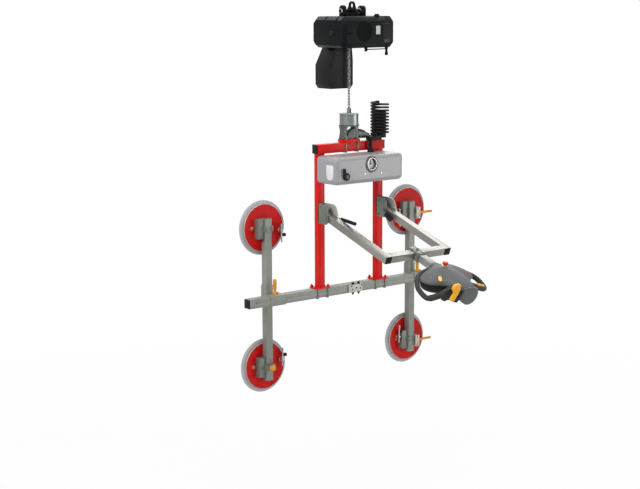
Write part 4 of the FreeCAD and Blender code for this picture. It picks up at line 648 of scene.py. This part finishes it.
def hoist_details():
    """Panels, slots and a bare plate on the housing, and the rims of the chain holes, with near-black pieces as painted
    shade in the slots, recess, notches and chain holes, and lighter grey strips as painted highlights on the chamfers
    and along the end panel's edge.
    """
    dark = [slab("front_slot", (-145, -133, -153), (-102, -131, -143), 0.8)]
    for y in (0, 48):
        dark.append(turned_ring("chain_mouth", MOUTH_RINGS, (CHAIN_X, y, HOIST_FOOT), "-z"))
    for y in (31, -67):
        dark.append(turned_slab("panel_notch", (-14, -4.5, -1), (14, 4.5, 2.2), 0.8, (SLOPE_X, y, SLOPE_Z),
                                SLOPE_DEGREES))
    # Near-black pieces: painted shade in the front slot, the chain holes' mouths and the chamfer's notches
    dress(join("hoist_painted_shade", dark), SHADE_BLACK, "hoist", "black_metal")
    # A darker disc painted as the shade of the round recess in the housing's front
    recess = turned("front_recess_shade", ((56, -1), (56, 0.2), (50, 0.9), (46, 1.0), (44, 0.4)), (-20, HOIST_FRONT, -140),
                    "-y")
    dress(recess, RECESS_SHADE, "hoist", "black_metal")

    # Lighter grey strips on the chamfered left end: painted highlight where the bevels catch the light
    slopes = [turned_slab("chamfer_panel", (-13, near, -1), (13, far, 1.4), 0.8, (SLOPE_X, 0, SLOPE_Z), SLOPE_DEGREES)
              for near, far in ((-108, -73), (-61, 25), (37, 112))]
    slopes.append(turned_slab("lower_chamfer_panel", (-10, -100, -1), (10, 110, 1.2), 0.8, (SLOPE_X, 0, -221), 38))
    dress(join("hoist_chamfer_highlights", slopes), HIGHLIGHT_GREY, "hoist", "black_metal")
    panels = [slab("end_panel", (113, -133.4, -200), (186, -130, -88), 1.2),
              turned("left_end_knob", ((15, -2), (15, 3), (13, 6), (8, 8.5), (3, 9)), (HOIST_LEFT, -33, -149), "-x"),
              bent_rod("recess_lip", ((-12, -133, -95), (8, -133, -88), (30, -133, -90), (48, -133, -106)), 1.8),
              slab("cover_seam", (137.6, -132.6, -203), (140.4, -130, -84), 0.6)]
    dress(join("hoist_panels", panels), BOX_PLASTIC, "hoist", "black_metal")
    bare = slab("bare_hoist_plate", (62, -134.4, -156), (91, -131.5, -110), 1.0)
    dress(bare, BARE_PLATE, "hoist", "light_tube")
    # A lighter grey strip painted as the highlight along the end panel's edge, and a lighter grey patch on its catch
    trim = [slab("end_panel_highlight_strip", (98, -134.6, -99.5), (149, -131.5, -96.8), 0.6),
            slab("end_panel_catch", (120, -134.8, -202), (157, -131.5, -184), 1.5)]
    dress(join("hoist_trim_highlight_and_patch", trim), HIGHLIGHT_GREY, "hoist", "black_metal")


def hoist_fittings():
    """Washers and nuts of the cross pin, the cable gland on top, and the stop plugs underneath with their rod."""
    pin = [turned("washer", WASHER_RINGS, (x, 0, PIN_Z), facing) for x, facing in ((-55, "x"), (55, "-x"))]
    pin += [hex_bolt("pin_nut", 15, 8, (x, 0, PIN_Z), facing) for x, facing in ((-75, "-x"), (85, "x"))]
    dress(join("pin_washers", pin), STEEL, "hoist", "steel")

    stops = [turned("top_gland", GLAND_RINGS, (98, -95, HOIST_TOP)),
             turned("short_stop_plug", SHORT_PLUG_RINGS, (16, STOP_Y, HOIST_FOOT), "-z"),
             turned("long_stop_plug", LONG_PLUG_RINGS, (165, STOP_Y, HOIST_FOOT), "-z"),
             bent_rod("stop_rod", [(x, STOP_Y, STOP_ROD_Z) for x in (16, 70, 120, 165)], 3.0)]
    dress(join("hoist_stop", stops), BLACK_PAINT, "hoist", "black_metal", "hoist_fittings")


# Swivel
DRUM_FOOT = -655
DRUM_RINGS = ((13, 1), (50, 0), (54, 2), (54, 9), (52.4, 10.5), (52.4, 54), (54, 55.5), (54, 62), (51, 66), (32, 66),
              (30, 68), (13, 68))
LEG_OUTLINE = ((-78, -655), (-42, -655), (-46, -668), (-54, -684), (-56, -697), (-50, -716), (-42, -733), (-80, -733),
               (-78, -718), (-74, -700), (-73, -686), (-77, -668))
GUSSET_OUTLINE = ((-52, -733), (114, -733), (114, -710), (84, -697), (52, -692), (36, -680), (20, -671), (4, -674),
                  (-16, -682), (-34, -692))


def swivel_pieces():
    """The turned drum, the waisted legs of the yoke, its gusset with its holes as dark discs of painted shade, and a
    small rod over them.
    """
    drum = turned_ring("swivel_drum", DRUM_RINGS, (CHAIN_X, 0, DRUM_FOOT))
    dress(drum, DRUM_STEEL, "lifter", "machined_steel", "swivel_housing")
    legs = [cut_plate("left_leg", LEG_OUTLINE, 40, (0, 20, 0), "-y", 2.5),
            cut_plate("right_leg", [(2 * CHAIN_X - x, z) for x, z in LEG_OUTLINE], 40, (0, 20, 0), "-y", 2.5),
            slab("yoke_bridge", (-79, -22, -664), (35, 22, DRUM_FOOT), 2.0),
            cut_plate("yoke_gusset", GUSSET_OUTLINE, 36, (0, 18, 0), "-y", 2.0),
            slab("gusset_pad", (46, -20, -733), (112, 20, -713), 2.0)]
    dress(join("yoke_casting", legs), CAST, "lifter", "steel", "swivel_yoke")
    holes = [turned("gusset_hole", ((5, -0.5), (5, 0.8), (4, 0.3)), (x, -20, -722), "-y", sides=20)
             for x in (36, 57, 72)]
    holes.append(bent_rod("gusset_rod", ((30, -19, -683), (44, -20, -685), (58, -20, -690), (74, -20, -695)), 4.0))
    # Dark discs painted as the shade inside the gusset's holes, and the rod over them in the same near-black
    dress(join("yoke_hole_shade_and_rod", holes), SHADE_BLACK, "lifter", "black_metal")


def foot_caps():
    """Red cap nuts over the studs of the frame's two feet."""
    cap = turned("foot_caps", ((8, -0.5), (8, 7), (7, 9), (5, 9.5), (4, 14), (2.5, 15)), (-269, -29, -1545), sides=24)
    steps = [(x, y, 0) for x in (0, 70, 424, 494) for y in (0, 58) if (x, y) != (0, 0)]
    dress(smooth(repeat(cap, steps)), PAD_RED, "lifter", "red_paint")


# Vacuum unit: the plane of its front, and the middles of its gauge and its valve
CASING_FRONT = -186
GAUGE_X, GAUGE_Z = -12, -859
VALVE_X, VALVE_Z = -200, -915
SURROUND_RINGS = ((31, -15), (44, -15), (46, -2), (45, 1), (41.5, 2.4), (38, 2.4), (33, 0))
GAUGE_RINGS = ((30.5, -6), (34.5, -6), (35, 2.4), (33.6, 4.2), (31.6, 4.2), (30.5, 2.6))
VALVE_ARM = ((-21, -4), (-22, 14), (-22, 40), (-19, 45), (-12, 46), (-8, 42), (-8, 24), (-4, 8))
# Radii of the dial's ticks and of its red band, inside and outside
TICK_RADII = (23, 29)
BAND_RADII = (24, 30)


def vacuum_unit():
    """A bare white plate on the end, the gauge with its dial, the valve lever, and two screws in front."""
    foot = [(x, -906 - z) for x, z in half_ring(30, (130, 0))]
    plate = cut_plate("bare_end_plate", [(100, -853), (160, -853), (160, -906), *foot, (100, -906)], 2.0,
                      (-264.5, 0, 0), "-x", 0.7)
    dress(plate, PLATE_WHITE, "lifter", "gauge_white")

    floor_y = max(corner.co.y for corner in frame["nodes"]["gauge_needle"].data.vertices) / MM
    surround = turned_ring("gauge_surround", SURROUND_RINGS, (GAUGE_X - 3, CASING_FRONT, GAUGE_Z - 1), "-y")
    dress(surround, DIAL_SURROUND, "lifter", "grey_casing", "gauge_case")
    face = turned("dial_face", ((33, -3), (33, -0.4), (31, 0)), (GAUGE_X, floor_y + 0.1, GAUGE_Z), "-y")
    dress(face, DIAL_WHITE, "lifter", "gauge_white")
    ring = turned_ring("gauge_ring", GAUGE_RINGS, (GAUGE_X, CASING_FRONT, GAUGE_Z), "-y")
    dress(ring, STEEL, "lifter", "steel")
    ticks = []
    for ends in zip(*(arc(radius, 210, -30, 9, (GAUGE_X, GAUGE_Z)) for radius in TICK_RADII)):
        ticks.append(bent_rod("dial_tick", [(x, floor_y - 0.4, z) for x, z in ends], 0.9))
    dress(join("dial_ticks", ticks), BLACK_PLASTIC, "lifter", "black_plastic")
    inner, outer = BAND_RADII
    corners = arc(outer, 110, -10, 12) + arc(inner, 0, 10, 12)
    band = cut_plate("dial_red_band", corners, 0.5, (GAUGE_X, floor_y - 0.1, GAUGE_Z), "-y", 0.1, steps=1)
    dress(band, STOP_RED, "lifter", "red_plastic")

    hub = turned("valve_hub", ((6, -6), (20, 0), (21, 2), (21, 11), (19, 14), (12, 15.5)),
                 (VALVE_X, CASING_FRONT - 1, VALVE_Z), "-y")
    arm = cut_plate("valve_arm", VALVE_ARM, 13, (VALVE_X, CASING_FRONT - 2.5, VALVE_Z), "-y", 3.0, steps=3)
    dress(join("valve_lever", [hub, arm]), BLACK_PLASTIC, "valve", "black_plastic", "vacuum_valve_lever")
    centre = turned("valve_centre", ((11, 0), (11, 1.2), (9.5, 2), (5, 2.2)), (VALVE_X, CASING_FRONT - 16, VALVE_Z),
                    "-y")
    dress(centre, DIAL_SURROUND, "valve", "grey_casing")
    screw = turned("casing_screws", ((5, -1), (5, 1), (4, 1.8), (2, 1.8)), (-62, CASING_FRONT, -910), "-y", sides=20)
    dress(repeat(screw, ((116, 0, -4),)), STEEL, "lifter", "steel")


# The casing's back plate: how far its corners' middles lie in, their radius, and where its screws are
BACK_INSET, BACK_BEND = 29.6, 24
BACK_SCREW_ACROSS, BACK_SCREW_DROP = 120, 18


def casing_back():
    """A screwed plate closes the open back of the casing, between the posts."""
    low, high = (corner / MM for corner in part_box("vacuum_housing"))
    left, right, foot, top = low.x + BACK_INSET, high.x - BACK_INSET, low.z + BACK_INSET, high.z - BACK_INSET
    outline = []
    for x, z, start in ((right, top, 0), (left, top, 90), (left, foot, 180), (right, foot, 270)):
        outline += arc(BACK_BEND, start, 22.5, 5, (x, z))
    plate = cut_plate("casing_back_plate", outline, 2.5, (0, high.y - 1, 0), "-y", 0.6)
    dress(plate, CASING, "lifter", "grey_casing")
    spot = ((low.x + high.x) / 2, high.y - 1, high.z - BACK_SCREW_DROP)
    lower = low.z - high.z + 2 * BACK_SCREW_DROP
    screw = turned("back_plate_screws", ((6, -1), (6, 1), (5, 2), (2.4, 2)), spot, "y", sides=20)
    steps = [(x, 0, z) for x in (-BACK_SCREW_ACROSS, 0, BACK_SCREW_ACROSS) for z in (0, lower) if (x, z) != (0, 0)]
    dress(repeat(screw, steps), STEEL, "lifter", "steel")


# Suction pads: each one's middle, the planes of its seal, pale rim (a painted highlight on the plate's edge), plate and
# shut-off valve, and its rings
PAD_SPOTS = {"left_upper": (-564, -1189), "left_lower": (-564, -1960),
             "right_upper": (484, -1189), "right_lower": (484, -1960)}
SEAL_Y, RIM_Y, PLATE_Y, SHUT_OFF_Y = 97.8, 86, 73.8, 54
SCREW_CIRCLE = 116
SEAL_RINGS = ((96, 4), (96, 12), (131, 12), (133, 13.4), (136, 13.4), (137.6, 12.2), (142, 12.2), (144.5, 10.6),
              (148.4, 9.2), (150, 6.8), (149, 4.6), (150, 3), (149, 0.8), (146, 0), (141, 0.8), (138, 3.2), (120, 4.2))
RIM_RINGS = ((129, 0.5), (131.6, 0), (132, 2), (131.6, 10.2), (130.6, 11.4), (129, 11.6))
SCREW_RINGS = ((5, -1), (5, 1.8), (4, 2.8), (2, 2.8))
PLUG_RINGS = ((11, -1), (11, 2), (9, 3), (9, 7), (7.5, 8.4), (3.5, 8.6))
SHUT_OFF_RINGS = ((10, -1), (10, 3), (7, 5), (7, 16), (9, 17), (9, 26), (6, 28))
KNOB_RINGS = ((4, -10), (4, 0), (9, 1), (10, 4), (10, 12), (8, 15), (4, 16))


def suction_pad(pad):
    """One pad: its ridged seal, a pale rim painted as the highlight on the plate's edge, plate screws, brass plug, and
    shut-off valve with a dark knob.
    """
    x, z = PAD_SPOTS[pad]
    body, up = f"{pad}_pad", 1 if "lower" in pad else -1
    seal = turned_ring(f"{pad}_seal_ring", SEAL_RINGS, (x, SEAL_Y, z), "-y", sides=96)
    dress(seal, SEAL, body, "grey_rubber", f"{pad}_pad_seal")
    # The pale rim is a painted highlight along the edge of the pad's plate
    rim = turned_ring(f"{pad}_rim", RIM_RINGS, (x, RIM_Y, z), "-y", sides=96)
    dress(rim, PAD_RIM_HIGHLIGHT, body, "light_tube")
    screws = [turned("plate_screw", SCREW_RINGS, (across, PLATE_Y, height), "-y", sides=16)
              for across, height in arc(SCREW_CIRCLE, 22.5, 45, 8, (x, z))]
    dress(join(f"{pad}_plate_screws", screws), PAD_RED, body, "red_paint")
    plug = turned(f"{pad}_plug", PLUG_RINGS, (x - 80, PLATE_Y, z + 4), "-y", sides=24)
    dress(plug, BRASS, body, "machined_steel")

    side = x + (104 if "left" in pad else -76)
    foot = turned("valve_foot", SHUT_OFF_RINGS, (side, PLATE_Y, z + 20 * up), "-y", sides=24)
    line = [(side + out, SHUT_OFF_Y, z + rise * up) for out, rise in ((0, -14), (0, 20), (2, 60), (4, 88))]
    stalk = bent_rod("valve_stalk", line, 4.6)
    dress(join(f"{pad}_shut_off", [foot, stalk]), STEEL, body, "steel")
    knob = turned(f"{pad}_valve_knob", KNOB_RINGS, (side + 12, SHUT_OFF_Y, z + 48 * up), "x", sides=24)
    dress(knob, BLACK_PLASTIC, body, "black_plastic")


# Side clamps of the right-hand pads: how far from the pad's middle the handle and its block start, and the block's face
SIDE_ROOT, BLOCK_SIDE, BLOCK_FACE = 54.6, 20.4, 14.4
COLLAR_RINGS = ((6, -20), (6, 0), (11, 0.5), (11.5, 4), (11.5, 11), (10, 14), (6, 14.5))


def side_clamp(pad):
    """The orange side handle of a right-hand pad, with a dark ring at its root and a pale block behind it."""
    low, high = (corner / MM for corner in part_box(f"{pad}_pad_clamp"))
    y, z = (low.y + high.y) / 2, (low.z + high.z) / 2
    root = PAD_SPOTS[pad][0] + SIDE_ROOT
    reach = high.x - root
    rings = ((7, 14), (8.5, 16), (8.5, 40), (6.4, 42), (6.2, 50), (7.4, 54), (7.8, reach - 10), (6.8, reach - 3),
             (3, reach))
    grip = turned(f"{pad}_side_grip", rings, (root, y, z), "x", sides=28)
    dress(grip, ORANGE, f"{pad}_screw", "orange_plastic", f"{pad}_pad_clamp")
    collar = turned(f"{pad}_side_collar", COLLAR_RINGS, (root, y, z), "x", sides=28)
    dress(collar, BLACK_PLASTIC, f"{pad}_screw", "black_plastic")
    x = PAD_SPOTS[pad][0] + BLOCK_SIDE
    face = slab(f"{pad}_block_face", (x + 1, BLOCK_FACE, z - 26), (x + 33, 18, z + 42), 1.5)
    dress(face, BLOCK_PALE, f"{pad}_pad", "light_tube")
    bolt = hex_bolt(f"{pad}_block_bolts", 6, 5, (x + 17, BLOCK_FACE, z + 32), "-y")
    dress(repeat(bolt, ((0, 0, -52),)), STEEL, f"{pad}_pad", "steel")


def pad_clamps():
    """The other two pads' clamps: a front knob on the left lower one and a plain bolt on the left upper one."""
    low, high = (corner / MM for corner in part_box("left_lower_pad_clamp"))
    x, z = (low.x + high.x) / 2, (low.z + high.z) / 2
    long = high.y - low.y
    rings = ((4, 0), (4, long - 40), (9, long - 38), (12, long - 34), (14, long - 28), (15, long - 22), (15, long - 8),
             (13, long - 3), (8, long))
    knob = turned("front_knob", rings, (x, high.y, z), "-y")
    dress(knob, ORANGE, "left_lower_screw", "orange_plastic", "left_lower_pad_clamp")
    low, high = (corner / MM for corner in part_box("left_upper_pad_clamp"))
    y, z, long = (low.y + high.y) / 2, (low.z + high.z) / 2, high.x - low.x
    rings = ((4, 0), (4, long - 6), (9, long - 6), (9, long - 4.5))
    shank = turned("side_bolt_shank", rings, (low.x, y, z), "x", sides=24)
    head = hex_bolt("side_bolt_head", 7, 5, (high.x - 5, y, z), "x")
    dress(join("left_upper_side_bolt", [shank, head]), STEEL, "left_upper_screw", "steel", "left_upper_pad_clamp")


# Beam, cross-arms and handle

def arm_clamps():
    """The upright orange handles that clamp the cross-arms to the beam."""
    for side in ("left", "right"):
        low, high = (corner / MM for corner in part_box(f"{side}_arm_clamp"))
        tall = high.z - low.z
        rings = ((8, 0), (12, 1), (12.5, 5), (12.5, 12), (10, 16), (8, 20), (8, 26), (9.6, 34), (10.4, tall - 16),
                 (9.8, tall - 7), (7, tall - 1.5), (3, tall))
        middle = ((low.x + high.x) / 2, (low.y + high.y) / 2, low.z)
        lever = turned("arm_handle", rings, middle, sides=32)
        foot = slab("handle_foot", (low.x + 6, low.y + 3, low.z + 1), (high.x + 14, high.y - 3, low.z + 17), 6.0)
        dress(join(f"{side}_arm_handle", [lever, foot]), ORANGE, f"{side}_arm_screw", "orange_plastic",
              f"{side}_arm_clamp")


# The manifold's front, top and foot, its small holes, and its nipples
MANIFOLD_FRONT, MANIFOLD_TOP, MANIFOLD_FOOT, NIPPLE_Y = -39, -1556, -1600, -32
PORT_SPOTS = ((-29, -1583), (0, -1576), (28, -1582), (-37, -1564), (38, -1564))
PORT_RINGS = ((4.2, -1), (4.2, 1), (3.2, 1.6), (2.2, 0.4))
UPPER_NIPPLE = ((9, -1), (9, 4), (7, 5), (7, 10), (5, 12), (3.5, 13))
LOWER_NIPPLE = ((8, -1), (8, 6), (5, 8), (4.2, 13), (3, 15))


def manifold():
    """The valve block on the beam: ports and screws in front, and two nipples above and below."""
    block = slab("manifold_block", (-46, MANIFOLD_FRONT, MANIFOLD_FOOT), (46, -25, MANIFOLD_TOP), 1.5)
    dress(block, BARE_PLATE, "lifter", "machined_steel", "valve_manifold")
    ports = [turned("manifold_port", PORT_RINGS, (x, MANIFOLD_FRONT, z), "-y", sides=20) for x, z in PORT_SPOTS]
    for x in (-21, 21):
        ports.append(turned("upper_nipple", UPPER_NIPPLE, (x, NIPPLE_Y, MANIFOLD_TOP), sides=20))
        ports.append(turned("lower_nipple", LOWER_NIPPLE, (x, NIPPLE_Y, MANIFOLD_FOOT), "-z", sides=20))
    dress(join("manifold_ports", ports), BLACK_PLASTIC, "lifter", "black_plastic")


# Hinges of the handle: the pivot, half their width, their foot, top and back, and the thickness of their cheeks
PIVOT_Y, PIVOT_Z = -86, -1146
HINGE_HALF, HINGE_FOOT, HINGE_TOP, HINGE_BACK, CHEEK = 27.5, -1184, -1074, -20, 6
OUTER_CHEEK = ((HINGE_BACK, HINGE_FOOT), (HINGE_BACK, HINGE_TOP), (-88, HINGE_TOP), (-104, -1090), (-104, -1170),
               (-92, HINGE_FOOT))
# Bolts of the clamp sleeve, on top and on its side, in the handle's own frame
SLEEVE_TOP_BOLTS = ((-17, -480), (17, -480), (-17, -530), (17, -530))
SLEEVE_SIDE_BOLTS = (-482, -528)
LEVER_HUB = ((11, -6), (11.5, -4), (11.5, 4), (10, 6))


def handle_hinges():
    """The hinge brackets on the posts, their rounded inner cheeks, and their pins and bolts."""
    plates, lights, bolts = [], [], []
    quarter = arc(46, 90, 10, 10, (PIVOT_Y, PIVOT_Z), 72)
    inner_cheek = ((HINGE_BACK, HINGE_FOOT), (HINGE_BACK, HINGE_TOP), *quarter, (-132, -1172), (-120, HINGE_FOOT))
    for x in (-234, 190):
        left, right = x - HINGE_HALF, x + HINGE_HALF
        plates.append(slab("hinge_back", (left, -28, HINGE_FOOT), (right, HINGE_BACK, HINGE_TOP), 1.5))
        plates.append(cut_plate("outer_cheek", OUTER_CHEEK, CHEEK, (left, 0, 0), "x", 1.2))
        lights.append(cut_plate("inner_cheek", inner_cheek, CHEEK, (right - CHEEK, 0, 0), "x", 1.2))
        plates.append(turned("hinge_pin", ((9, 0), (9, 2 * HINGE_HALF)), (left, PIVOT_Y, PIVOT_Z), "x"))
        for end, facing in ((left, "-x"), (right, "x")):
            bolts.append(hex_bolt("pivot_bolt", 10, 6, (end, PIVOT_Y, PIVOT_Z), facing))
        for z in (-1090, -1170):
            bolts.append(hex_bolt("plate_bolt", 6, 4, (left, -40, z), "-x"))
    dress(join("hinge_brackets", plates), PLATE_GREY, "lifter", "steel", "handle_brackets")
    dress(join("hinge_quadrants", lights), BRIGHT_ZINC, "lifter", "light_tube")
    dress(join("hinge_bolts", bolts), PLATE_GREY, "lifter", "steel")


def handle_fittings():
    """Bolts of the clamp sleeve, and the two lock levers with their black grips."""
    sleeve = [hex_bolt("sleeve_bolt", 6, 5, (x, y, 25), "z", HANDLE) for x, y in SLEEVE_TOP_BOLTS]
    sleeve += [hex_bolt("sleeve_side_bolt", 6, 5, (-25, y, 0), "-x", HANDLE) for y in SLEEVE_SIDE_BOLTS]
    dress(join("sleeve_bolts", sleeve), STEEL, "handle", "steel")

    for side, x, wide, start in (("left", -200.2, 9.0, 0.35), ("right", 156.2, 14.0, 0.4)):
        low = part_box(f"{side}_lock_lever")[0] / MM
        tip = Vector((x, low.y + wide, low.z + wide))
        root = Vector((x, PIVOT_Y, PIVOT_Z))
        hub = turned("lever_hub", LEVER_HUB, root, "x", sides=28)
        arm = bent_rod("lever_arm", [root.lerp(tip, s) for s in (0.0, 0.25, start + 0.1)], 5.5)
        dress(join(f"{side}_lever_arm", [hub, arm]), PLATE_GREY, f"{side}_lever", "steel", f"{side}_lock_lever")
        grip = bent_rod(f"{side}_lever_grip", [root.lerp(tip, s) for s in (start, start + 0.2, 0.75, 1.0)], wide * 1.1)
        dress(soft_end(grip), BLACK_PLASTIC, f"{side}_lever", "black_plastic")


def soft_end(rod):
    """Rounds the cut ends of a rod."""
    return round_edges(rod, 2.0 * MM, 2, 50.0)


# Control unit: half the outline of its shell, across from the middle and along from the root
SHELL_OUTLINE = ((26, -2), (60, 6), (112, 34), (160, 76), (172, 114), (156, 160), (100, 182), (62, 216), (58, 296))
SHELL_MIDDLE, SHELL_REACH = 122.0, 290
# How far the shell rises from its root to its front
SHELL_LIFT = 40.0
# Levels: share of the outline, height, share of the lift, and how far the middle is drawn back
SHELL_LEVELS = ((0.90, -34, 1.0, 0), (0.985, -34, 1.0, 0), (1.01, -27, 1.0, 0), (0.99, -19, 1.0, 0), (0.90, -8, 1.0, 0),
                (0.72, 8, 1.0, 12), (0.46, 25, 1.0, 30), (0.28, 35, 1.0, 40))
TRAY_LEVELS = ((0.80, -72, 0.35, 0), (0.90, -66, 0.4, 0), (0.96, -50, 0.7, 0), (0.965, -30, 1.0, 0),
               (0.80, -16, 1.0, 0))
# The nose's round underside, and how much wider its front is
NOSE_X, NOSE_Z, NOSE_RADIUS, NOSE_FLARE = 16, -24, 54, 1.02
# Raised seams on top of the shell, round its panel and along the nose's top edge, pale as painted highlights along
# them: line across and along, thickness
SEAMS = ((((-2, 104), (20, 102), (40, 100), (62, 98)), 1.9),
         (((-132, 132), (-96, 172), (-62, 190), (-50, 222), (-48, 268)), 1.0),
         (((-34, 284), (-10, 284), (20, 284), (50, 284)), 1.4))
# Where the selector, the stop button and the lamp are, across and along
SELECTOR_SPOT, STOP_SPOT, LAMP_SPOT = (-98, 162), (0, 78), (106, 150)
STOP_BASE_RINGS = ((7, -6), (20, -6), (20, 1), (18.5, 3.2), (15, 5), (7, 5))
STOP_CAP_RINGS = ((6, -6), (6, 11.3), (13.5, 11.3), (15.2, 13), (15.4, 18), (14.4, 21.5), (11.5, 23.8), (6, 24.6))


def shell_level(share, height, lifted, back):
    """The shell's outline at one level, as corners."""
    middle = SHELL_MIDDLE - back
    half = []
    for across, along in SHELL_OUTLINE:
        reach = middle + (along - SHELL_MIDDLE) * share
        half.append(Vector((across * share, -reach, height + SHELL_LIFT * lifted * reach / SHELL_REACH)))
    return half + [Vector((-corner.x, corner.y, corner.z)) for corner in reversed(half)]


def domed(name, levels):
    """A smooth shell through levels of the unit's outline."""
    piece = lofted(name, [shell_level(*level) for level in levels])
    apply(piece, "SUBSURF", levels=2, render_levels=2)
    piece.data.transform(UNIT)
    return smooth(piece, 50.0)


def on_shell(shell, across, along):
    """The point on the shell's top over a place of the unit, and the way that the surface faces there."""
    start = UNIT @ (Vector((across, -along, 200.0)) * MM)
    down = -(UNIT.to_3x3() @ Vector((0.0, 0.0, 1.0)))
    return shell.ray_cast(start, down)[1:3]


def lie_on(piece, point, normal):
    """Lays a piece modelled at the origin on a surface, its up side outward."""
    across = (UNIT.to_3x3() @ Vector((1.0, 0.0, 0.0))).normalized()
    along = normal.cross(across).normalized()
    turn = Matrix((along.cross(normal), along, normal)).transposed().to_4x4()
    piece.data.transform(Matrix.Translation(point) @ turn)
    piece.data.update()
    return piece


def control_shell():
    """The domed housing with its neck, the dark tray under it, whose dark is partly its own plastic and partly painted
    shade under the shell's rim, and the rounded nose.
    """
    shell = domed("control_shell", SHELL_LEVELS)
    tray = domed("control_tray_dark_and_shade", TRAY_LEVELS)
    round_foot, flared = (arc(NOSE_RADIUS * wider, 180, 180 / 14, 15, (NOSE_X, NOSE_Z)) for wider in (1.0, NOSE_FLARE))
    nose = cut_plate("control_nose", [(69, -2), (-37, -2), *round_foot], 150, (0, -121, 0), "-y", 7.0, UNIT, 4)
    front = cut_plate("nose_front", [(66, 10), (-34, 10), *flared], 30, (0, -264, 0), "-y", 7.0, UNIT, 4)
    neck = slab("control_neck", (-32, -96, -26), (32, 3, 23), 15.0, UNIT, 5)
    whole = dress(join("control_shell", [shell, front, neck]), SHELL, "control", "unit_plastic", "control_housing")
    # The tray's dark is partly its own plastic and partly painted shade under the shell's rim
    dress(join("control_tray_dark_and_shade", [tray, nose]), TRAY_DARK_AND_SHADE, "control", "black_plastic")
    return whole


def control_seams(shell):
    """Fine seams that lie on the shell, pale as painted highlights along them."""
    seams = [bent_rod("seam", [on_shell(shell, *spot)[0] / MM for spot in line], wide) for line, wide in SEAMS]
    dress(join("control_seams", seams), SEAM_HIGHLIGHT, "control", "unit_plastic")


def control_buttons(shell):
    """The leaning selector in its rim, the stop button on its base, and a small lamp."""
    point, normal = on_shell(shell, *SELECTOR_SPOT)
    lean = Matrix.Rotation(math.radians(-22), 2)
    upper = [(x, y + 8) for x, y in half_ring(9.5)]
    pill = [lean @ Vector(corner) for corner in upper + [(-x, -y) for x, y in upper]]
    rim = cut_plate("selector_surround", [(x * 1.3, y * 1.18) for x, y in pill], 6, (0, 0, -4), "z", 1.0)
    dress(lie_on(rim, point, normal), LENS_RIM, "control", "black_rubber")
    lens = cut_plate("selector_lens", pill, 11, (0, 0, -5), "z", 2.5, LEVEL, 3)
    dress(lie_on(lens, point, normal), PALE_YELLOW, "selector", "orange_plastic", "selector_button")

    top = UNIT.inverted() @ on_shell(shell, *STOP_SPOT)[0]
    spot = (0, -81, top.z / MM - 3)
    base = turned_ring("stop_base", STOP_BASE_RINGS, spot, "z", UNIT)
    dress(base, PALE_YELLOW, "control", "unit_plastic")
    cap = turned("stop_mushroom", STOP_CAP_RINGS, spot, "z", UNIT)
    dress(cap, STOP_RED, "stop", "red_plastic", "stop_button")
    lamp = turned("status_lamp", ((4, -3), (4, 1), (3, 2.4), (1.2, 3)), (0, 0, 0))
    dress(lie_on(lamp, *on_shell(shell, *LAMP_SPOT)), STOP_RED, "control", "red_plastic")


# Corners of the left loop's middle line, from its root near the neck round to its end behind the trigger
GRIP_CORNERS = ((-40, -14, -12), (-118, -21, -16), (-200, -108, -34), (-208, -168, -50), (-196, -212, -60),
                (-120, -228, -28), (-46, -228, 8))
SLEEVE_CORNERS = ((-186, -206, -56), (-158, -219, -45), (-120, -228, -28), (-60, -228, 2))


def control_grips():
    """Two rubber loops, the left one with a thicker sleeve where the hand holds it."""
    loops = []
    for name, side, wider in (("left", 1, 1.0), ("right", -1, 1.08)):
        loops.append(bent_rod(f"{name}_loop", [(side * x * wider, y, z) for x, y, z in GRIP_CORNERS], 14.0, UNIT, 5))
    loops.append(bent_rod("left_sleeve", SLEEVE_CORNERS, 17.0, UNIT, 5))
    dress(smooth(join("control_loops", loops)), BLACK_RUBBER, "control", "black_rubber", "control_grips")


TRIGGER_OUTLINE = ((-108, 34), (-100, 44), (-68, 47), (-57, 39), (-56, 12), (-64, -10), (-74, -32), (-80, -47),
                   (-92, -52), (-106, -46), (-100, -28), (-90, -8), (-96, 4), (-108, 16))
BASE_OUTLINE = ((-146, -16), (-150, -34), (-132, -56), (-112, -65), (-88, -60), (-58, -72), (-20, -88), (-8, -78),
                (-20, -30), (-70, 6), (-110, 4))
PADDLE_ENDS = (Vector((200, -203, -42)), Vector((112, -227, -5)))


def triggers():
    """The curved left trigger on its pin with its dark base, and the thumb paddle on the right loop."""
    lever = cut_plate("left_trigger_lever", TRIGGER_OUTLINE, 22, (0, -260, 0), "-y", 6.0, UNIT, 4)
    pin = turned("left_trigger_pin", ((4, 0), (4, 13), (3.2, 14)), (-74, -272, -16), "x", UNIT)
    dress(join("left_trigger_lever", [lever, pin]), YELLOW, "left_trigger_body", "orange_plastic", "left_trigger")
    base = cut_plate("left_trigger_base", BASE_OUTLINE, 14, (0, -232, 0), "-y", 4.0, UNIT, 3)
    dress(base, BLACK_RUBBER, "control", "black_rubber")
    start, end = PADDLE_ENDS
    paddle = bent_rod("right_thumb_paddle", [start.lerp(end, s) for s in (0.05, 0.3, 0.6, 0.95)], 8.5, UNIT, 4)
    dress(soft_end(paddle), YELLOW, "right_trigger_body", "orange_plastic", "right_trigger")


photo_camera()
studio()
finish_nodes()
curly_cable()
rounded_solids()
hoist_shell()
hoist_details()
hoist_fittings()
swivel_pieces()
foot_caps()
vacuum_unit()
casing_back()
for pad in PADS:
    suction_pad(pad)
for pad in PADS[2:]:
    side_clamp(pad)
pad_clamps()
arm_clamps()
manifold()
handle_hinges()
handle_fittings()
unit_shell = control_shell()
control_seams(unit_shell)
control_buttons(unit_shell)
control_grips()
triggers()
